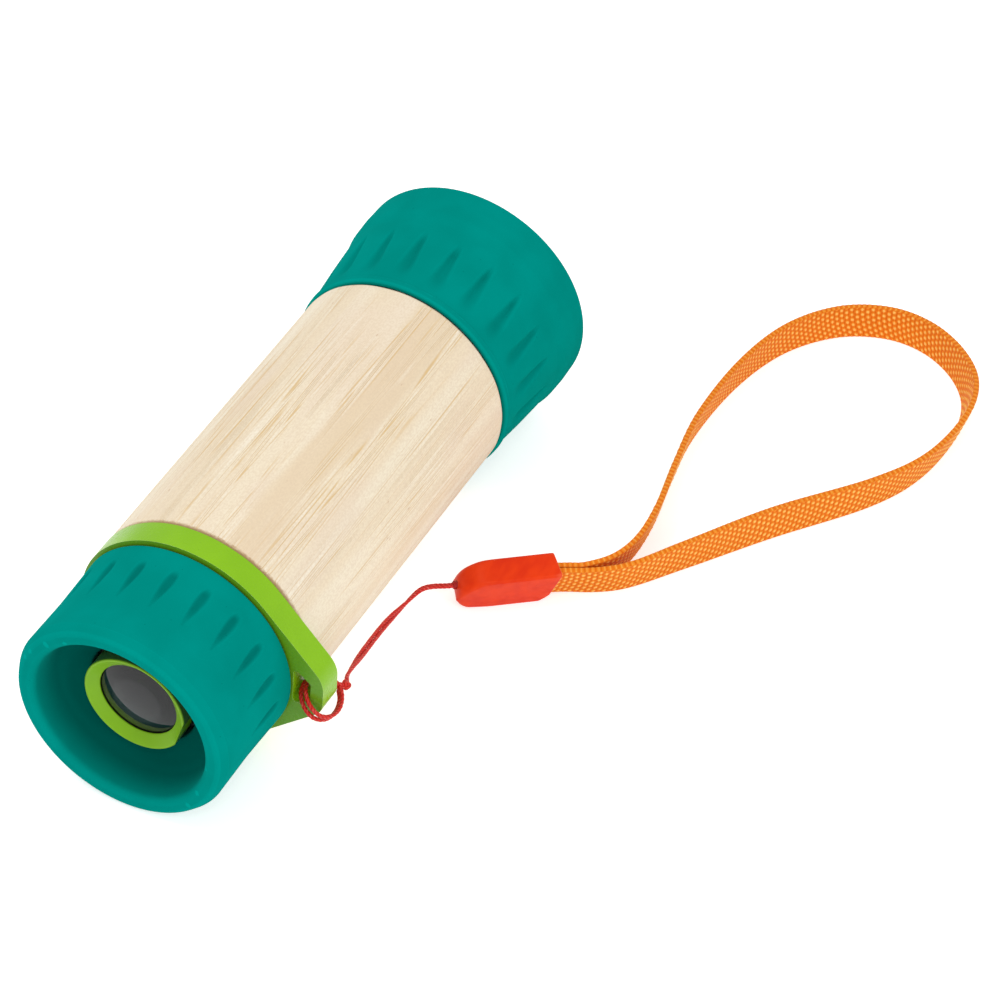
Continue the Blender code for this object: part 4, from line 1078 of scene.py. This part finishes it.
def build_cord():
    """Two waxed strands, side by side, one behind the other only near the knot and the sleeve."""
    line = cord_centre()
    along = line_length(line)
    share = along / along[-1]
    tangent = np.gradient(line, axis=0)
    flat = units(np.cross(tangent, CORD_FACE))
    deep = units(np.cross(flat, tangent))
    near_knot = radians(100.0) * (1.0 - smooth(share, 0.02, 0.30))
    angle = near_knot - radians(115.0) * smooth(share, 0.42, 0.80)
    offset = STRAND_GAP * (np.cos(angle)[:, None] * flat + np.sin(angle)[:, None] * deep)
    for letter, sign in (("a", -1.0), ("b", 1.0)):
        points, weave = twisted_grid(line + sign * offset, STRAND_R, start=sign)
        strand = grid_object(f"cord_strand_{letter}_wax", points, CORD, wrap_rows=False, weave=weave)
        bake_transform(strand)
        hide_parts(f"cord_strand_{letter}")


# --- Sleeve ---

SLEEVE_LENGTH = 18.8
SLEEVE_HALF_HEIGHT = 4.3
SLEEVE_FRONT = 2.95
SLEEVE_BACK = 2.2
SLEEVE_LEAN = radians(17.0)
SLEEVE_EDGE = 0.6
NOSE_TOP_R = 5.9
NOSE_FOOT_R = 2.0 * SLEEVE_HALF_HEIGHT - NOSE_TOP_R
NOSE_BOW = 2.4  # length over which the nose narrows, seen from above
POCKET = (2.05, 1.05, 3.7, 3.9, 0.4)  # the webbing's pocket: its front, back, top, foot and corner
POCKET_BOTTOM = 6.4  # from the nose
CORD_HOLE_R = 0.8
WEBBING_SHIFT = 0.5  # how far in front of the sleeve's middle the webbing comes out


def sleeve_basis():
    """Unit vectors along the sleeve, through its thickness and up its height."""
    along = (WEBBING_HINGE - MOUTH).normalized()
    upright = (TABLE_UP - along * TABLE_UP.dot(along)).normalized()
    turn = Matrix.Rotation(SLEEVE_LEAN, 3, along)
    up = turn @ upright
    return along, up.cross(along), up


SLEEVE_X, SLEEVE_Y, SLEEVE_Z = sleeve_basis()
SLEEVE_NOSE = MOUTH + 1.0 * SLEEVE_X


def rounded_section(front, back, top, foot, corner):
    """Points (depth, height) round a box with rounded corners, the same number for every box."""
    arcs = []
    centres = ((front, top), (-back, top), (-back, -foot), (front, -foot))
    for quarter, (depth, height) in enumerate(centres):
        depth -= copysign(corner, depth)
        height = top - corner if quarter < 2 else corner - foot
        turn = np.radians(np.linspace(90.0 * quarter, 90.0 * (quarter + 1), 8))
        arcs.append(np.stack([depth + corner * np.cos(turn), height + corner * np.sin(turn)], axis=-1))
    points = []
    for arc, following in zip(arcs, arcs[1:] + arcs[:1]):
        flat = np.linspace(arc[-1], following[0], 10)[1:-1]
        points.append(np.concatenate([arc, flat]))
    return np.concatenate(points)


def sleeve_section(x, inset=0.0):
    """The sleeve's outside at x, with its nose rounded both in side view and from above."""
    def drop(radius):
        return radius - sqrt(radius**2 - np.clip(radius - x, 0.0, radius) ** 2)

    bow = 0.72 + 0.28 * sqrt(1.0 - np.clip(1.0 - x / NOSE_BOW, 0.0, 1.0) ** 2)
    top = SLEEVE_HALF_HEIGHT - drop(NOSE_TOP_R) - inset
    foot = SLEEVE_HALF_HEIGHT - drop(NOSE_FOOT_R) - inset
    front, back = SLEEVE_FRONT * bow - inset, SLEEVE_BACK * bow - inset
    edge = SLEEVE_EDGE + 0.9 * (1.0 - smooth(x, 0.0, 7.0)) - inset
    return rounded_section(front, back, top, foot, min(edge, 0.5 * (top + foot), 0.5 * (front + back)))


def end_cut(section):
    """How far the open end stands back at each point: slanted, and cut away at the foot."""
    depth, height = section[:, 0], section[:, 1]
    half = SLEEVE_HALF_HEIGHT
    slant = np.interp(height, (-half, -half + 1.9, half), (4.3, 2.1, 0.0))
    return slant + 0.9 * (SLEEVE_FRONT - depth) / (SLEEVE_FRONT + SLEEVE_BACK)


def sleeve_grid():
    """Rows of (along, height, depth) from the nose to the open end, then down inside the pocket."""
    rows = []
    for turn in np.linspace(0.0, 0.5 * pi, 32):
        x = NOSE_TOP_R * (1.0 - cos(turn))
        rows.append((sleeve_section(x), x, 0.0))
    lip = 0.3
    for share in np.linspace(0.0, 1.0, 14)[1:]:
        rows.append((sleeve_section(SLEEVE_LENGTH), NOSE_TOP_R, share))
    for turn in np.linspace(0.0, 0.5 * pi, 5)[1:]:
        inset = lip * (1.0 - cos(turn))
        rows.append((sleeve_section(SLEEVE_LENGTH, inset), lip * sin(turn), None))
    rows.append((rounded_section(*POCKET), lip, None))
    points = []
    for section, x, share in rows:
        end = SLEEVE_LENGTH - lip - end_cut(section)
        along = end + x if share is None else x + share * (end - x)
        points.append(np.stack([along + 0.0 * section[:, 0], section[:, 1], section[:, 0]], axis=-1))
    for share in (0.5, 1.0):
        wall = points[len(rows) - 1].copy()
        wall[:, 0] += share * (POCKET_BOTTOM - wall[:, 0])
        points.append(wall)
    points.append(np.broadcast_to(points[-1].mean(axis=0), points[-1].shape))
    return np.array(points)


def build_sleeve():
    """Red moulded sleeve with the cord's hole in its nose and the webbing's pocket in its open end."""
    shell = grid_object("strap_sleeve_shell", sleeve_grid(), RED, wrap_rows=False)
    turns = np.linspace(0.0, tau, 33)[:-1]
    outline = [CORD_HOLE_R * Vector((cos(turn), sin(turn))) for turn in turns]
    hole = add_object("cord_hole", flat_mesh([outline], 15.0), RED)
    hole.data.transform(Matrix.Rotation(radians(90.0), 4, "Y"))
    cut = shell.modifiers.new("Cord hole", "BOOLEAN")
    cut.operation = "DIFFERENCE"
    cut.solver = "EXACT"
    cut.object = hole
    mesh = applied_mesh(shell)
    for leftover in (shell, hole):
        bpy.data.objects.remove(leftover)
    basis = Matrix((SLEEVE_X, SLEEVE_Z, -SLEEVE_Y)).transposed().to_4x4()
    mesh.transform(Matrix.Translation(SLEEVE_NOSE * MM) @ basis)
    mesh.materials.clear()
    mesh.shade_smooth()
    mesh.set_sharp_from_angle(angle=radians(32.0))
    settle(add_object("strap_sleeve_body", mesh, RED), "sleeve", "red_plastic", "strap_sleeve")


# --- Webbing ---

WEBBING_HALF_WIDTH = 3.6
WEBBING_HALF_THICKNESS = 0.6
WEAVE_PERIOD = 2.0
WARP_SPACING = 1.2
WEAVE_RISE = 0.24
SELVEDGE_ROUND = 0.12  # how far the rolled selvedge rounds off each face
# The free loop's waypoints (x, y, lean): the lean is in degrees, outwards from the loop when above 0.
OUT_RUN = ((50.0, -36.5, 13), (57.3, -26.1, 7), (67.3, -11.1, 1), (79.4, 4.6, 6))
FAR_RUN = ((84.9, 16.0, 14), (86.4, 29.0, 18), (84.5, 38.5, 16), (79.0, 45.3, 10), (71.0, 49.6, 6))
TURN_RUN = ((62.4, 49.9, 4), (53.8, 45.4, 1), (47.2, 35.9, -4), (43.9, 22.4, -9), (43.4, 6.0, -12))
BACK_RUN = ((45.4, -7.5, -13), (47.7, -19.3, -14), (48.3, -28.5, -16), (46.9, -34.8, -17))
TAIL_INSIDE = 8.0  # how far each end of the webbing reaches into the sleeve


def webbing_line():
    """Rows (x, y, lean in radians) of the webbing: out of the sleeve, round the loop and back in."""
    heading = Vector(SLEEVE_X[:2]).normalized()
    aside = Vector((-heading.y, heading.x)) * (WEBBING_HALF_THICKNESS + 0.1)
    forward = Vector((heading.y, -heading.x)) * WEBBING_SHIFT
    leave = Vector(WEBBING_HINGE[:2]) + heading * 1.0 + forward
    lean = degrees(SLEEVE_LEAN)
    out = [leave - heading * TAIL_INSIDE - aside, leave - heading * 3.0 - aside, leave - aside]
    back = [leave + heading * 3.0 + aside, leave + aside, leave - heading * 3.0 + aside]
    back.append(leave - heading * TAIL_INSIDE + aside)
    path = [(*point, lean) for point in out] + list(OUT_RUN + FAR_RUN + TURN_RUN + BACK_RUN)
    path += [(*point, -lean) for point in back]
    waypoints = [Vector((x, y, radians(angle))) for x, y, angle in path]
    return resampled(catmull_rom(waypoints, 0.5), 0.32)


def weave_height(along, across):
    """Height from 0 to 1 of the woven face: staggered floats in bowed, slanting rows."""
    share = across / WEBBING_HALF_WIDTH
    bowed = along + 0.35 * share**2 - 0.7 * share + 0.12 * np.sin(0.35 * along)
    lattice = np.cos(tau * bowed / WEAVE_PERIOD) * np.cos(tau * across / WARP_SPACING)
    row = np.cos(2.0 * tau * bowed / WEAVE_PERIOD)
    return np.clip(0.5 + 0.30 * lattice + 0.27 * row, 0.0, 1.0)


def webbing_frame(line, along):
    """The webbing's middle line with unit vectors up its width and out of its face."""
    lean = line[:, 2]
    free = smooth(np.minimum(along, along[-1] - along), 2.0, 12.0)
    floor_z = np.array([on_table(x, y).z for x, y, _ in line])
    run = np.gradient(line[:, :2], axis=0)
    outward = units(np.stack([run[:, 1], -run[:, 0], 0.0 * lean], axis=-1))
    table_up = np.array(tuple(TABLE_UP))
    leaned = table_up * np.cos(lean)[:, None] + outward * np.sin(lean)[:, None]
    up = units(leaned * free[:, None] + np.array(tuple(SLEEVE_Z)) * (1.0 - free)[:, None])
    level = 3.7 * free * np.cos(lean) + 4.35 * (1.0 - free)
    centre = np.stack([line[:, 0], line[:, 1], floor_z], axis=-1) + table_up * level[:, None]
    normal = units(np.cross(units(np.gradient(centre, axis=0)), up))
    return centre, up, normal


def webbing_columns(along):
    """Entries (across, out, weave height) round the webbing's section, each along its whole length."""
    still = 0.0 * along
    flat_half = WEBBING_HALF_WIDTH - SELVEDGE_ROUND
    rib = np.cos(2.0 * tau * along / WEAVE_PERIOD)
    columns = []
    for side in (1.0, -1.0):
        for across in np.linspace(-1.0, 1.0, 56)[1:-1] * flat_half * side:
            selvedge = smooth(WEBBING_HALF_WIDTH - abs(across), 0.05, 0.35)
            height = weave_height(along, across) * selvedge + 0.42 * (1.0 - selvedge)
            out = WEBBING_HALF_THICKNESS - WEAVE_RISE * (1.0 - height)
            columns.append((across + still, side * out, height))
        for turn in np.linspace(-0.5 * pi, 0.5 * pi, 6):
            out = (WEBBING_HALF_THICKNESS - SELVEDGE_ROUND) * sin(-turn) * side
            reach = flat_half + SELVEDGE_ROUND * cos(turn) + 0.05 * rib
            columns.append((side * reach, out + still, 0.48 + 0.24 * rib))
    return columns


def build_webbing():
    """Orange webbing on edge: woven faces and rolled selvedges, leaning with the sleeve at its ends."""
    line = webbing_line()
    along = line_length(line[:, :2])
    centre, up, normal = webbing_frame(line, along)
    columns = webbing_columns(along)
    points = [centre + up * across[:, None] + normal * out[:, None] for across, out, _ in columns]
    weave = [np.stack([along, across, height], axis=-1) for across, _, height in columns]
    points = np.stack(points, axis=1)
    weave = np.stack(weave, axis=1)
    poles = [row.mean(axis=1, keepdims=True) + 0.0 * row for row in (points[:1], points[-1:])]
    points = np.concatenate([poles[0], points, poles[1]])
    weave = np.concatenate([weave[:1], weave, weave[-1:]])
    webbing = grid_object("wrist_webbing", points, WEBBING, wrap_rows=False, weave=weave)
    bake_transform(webbing)
    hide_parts("webbing_loop", "webbing_tail")


# --- CAD nodes that keep their shape ---

KEPT = {
    "eyepiece_core": BLACK,
    "mirror_a": SILVER,
    "mirror_b": SILVER,
    "mirror_c": SILVER,
    "mirror_pad_a": FOAM,
    "mirror_pad_b": FOAM,
    "mirror_pad_c": FOAM,
    "eye_stop": CARD,
    "mirror_mask": CARD,
    "chamber_bush": BLACK,
    "bush_keeper": BLACK,
    "slip_washer": FELT,
    "chamber_housing": BLACK,
    "inner_window": CLEAR,
    "chamber_spacer": CLEAR,
    "cord_stopper": CORD,
}


def repaint(node, finish):
    """Give a CAD node its procedural material."""
    for slot in frame["nodes"][node].material_slots:
        slot.material = finish


# --- Studio ---

CAMERA_AIM = Vector((30.8, -46.9, 0.2))
CAMERA_DISTANCE = 786.9
CAMERA_AZIMUTH = radians(27.965)
CAMERA_ELEVATION = radians(43.497)
CAMERA_LENS = 162.0
TABLE_HALF = 4000


def toward(azimuth, elevation):
    """Unit vector from the toy towards a direction: azimuth 0 is in front of the eyepiece."""
    level = cos(elevation)
    return Vector((sin(azimuth) * level, -cos(azimuth) * level, sin(elevation)))


def build_camera():
    """A long lens from above the eyepiece's right."""
    data = bpy.data.cameras.new("camera")
    data.lens = CAMERA_LENS
    data.sensor_width = 36.0
    data.clip_start = 0.05
    data.clip_end = 50.0
    camera = bpy.data.objects.new("camera", data)
    bpy.context.scene.collection.objects.link(camera)
    back = toward(CAMERA_AZIMUTH, CAMERA_ELEVATION)
    camera.location = (CAMERA_AIM + back * CAMERA_DISTANCE) * MM
    camera.rotation_euler = (-back).to_track_quat("-Z", "Y").to_euler()
    bpy.context.scene.camera = camera


def add_softbox(name, azimuth, elevation, distance, size, power):
    """A square area light aimed at the toy."""
    data = bpy.data.lights.new(name, "AREA")
    data.shape = "SQUARE"
    data.size = size
    data.energy = power
    light = bpy.data.objects.new(name, data)
    bpy.context.scene.collection.objects.link(light)
    back = toward(radians(azimuth), radians(elevation))
    light.location = CAMERA_AIM * MM + back * distance
    light.rotation_euler = (-back).to_track_quat("-Z", "Y").to_euler()


def build_studio():
    """White table under the toy, white surroundings and three soft lights.

    Table and surroundings look brighter to the camera than they shine on the toy, so both stay white.
    """
    world = bpy.data.worlds.new("studio")
    world.use_nodes = True
    tree = world.node_tree
    background = tree.nodes["Background"]
    background.inputs["Color"].default_value = (1.0, 1.0, 1.0, 1.0)
    seen = tree.nodes.new("ShaderNodeLightPath").outputs["Is Camera Ray"]
    level = tree.nodes.new("ShaderNodeMapRange")
    level.inputs["To Min"].default_value = 0.68
    level.inputs["To Max"].default_value = 1.0
    tree.links.new(seen, level.inputs["Value"])
    tree.links.new(level.outputs[0], background.inputs["Strength"])
    bpy.context.scene.world = world
    add_softbox("key", -70.0, 58.0, 0.9, 0.45, 2.3)
    add_softbox("fill", 68.0, 27.0, 1.1, 0.32, 2.3)
    add_softbox("front", 30.0, 52.0, 0.95, 0.12, 0.7)
    paper = Finish("paper")
    mottled = paper.mix(paper.noise(30.0), (0.79, 0.79, 0.79), (0.81, 0.81, 0.81))
    seen = paper.add("ShaderNodeLightPath").outputs["Is Camera Ray"]
    strength = paper.add("ShaderNodeMapRange", {"Value": seen, "To Min": 0.32, "To Max": 0.6}).outputs[0]
    glow = {"Emission_Color": (1.0, 1.0, 1.0), "Emission_Strength": strength}
    material = paper.done(mottled, 0.9, Specular_IOR_Level=0.0, **glow)
    far = TABLE_HALF
    corners = [on_table(x, y) * MM for x, y in ((-far, -far), (far, -far), (far, far), (-far, far))]
    mesh = bpy.data.meshes.new("table")
    mesh.from_pydata([tuple(c) for c in corners], [], [(0, 1, 2, 3)])
    table = add_object("table", mesh, material)
    bpy.context.scene.view_settings.view_transform = "Standard"


build_tube()
build_ring()
build_eyecup()
build_cap()
build_bezel()
build_lens()
build_window()
build_beads()
build_hitch()
build_cord()
build_sleeve()
build_webbing()
for kept_node, kept_finish in KEPT.items():
    repaint(kept_node, kept_finish)
build_camera()
build_studio()
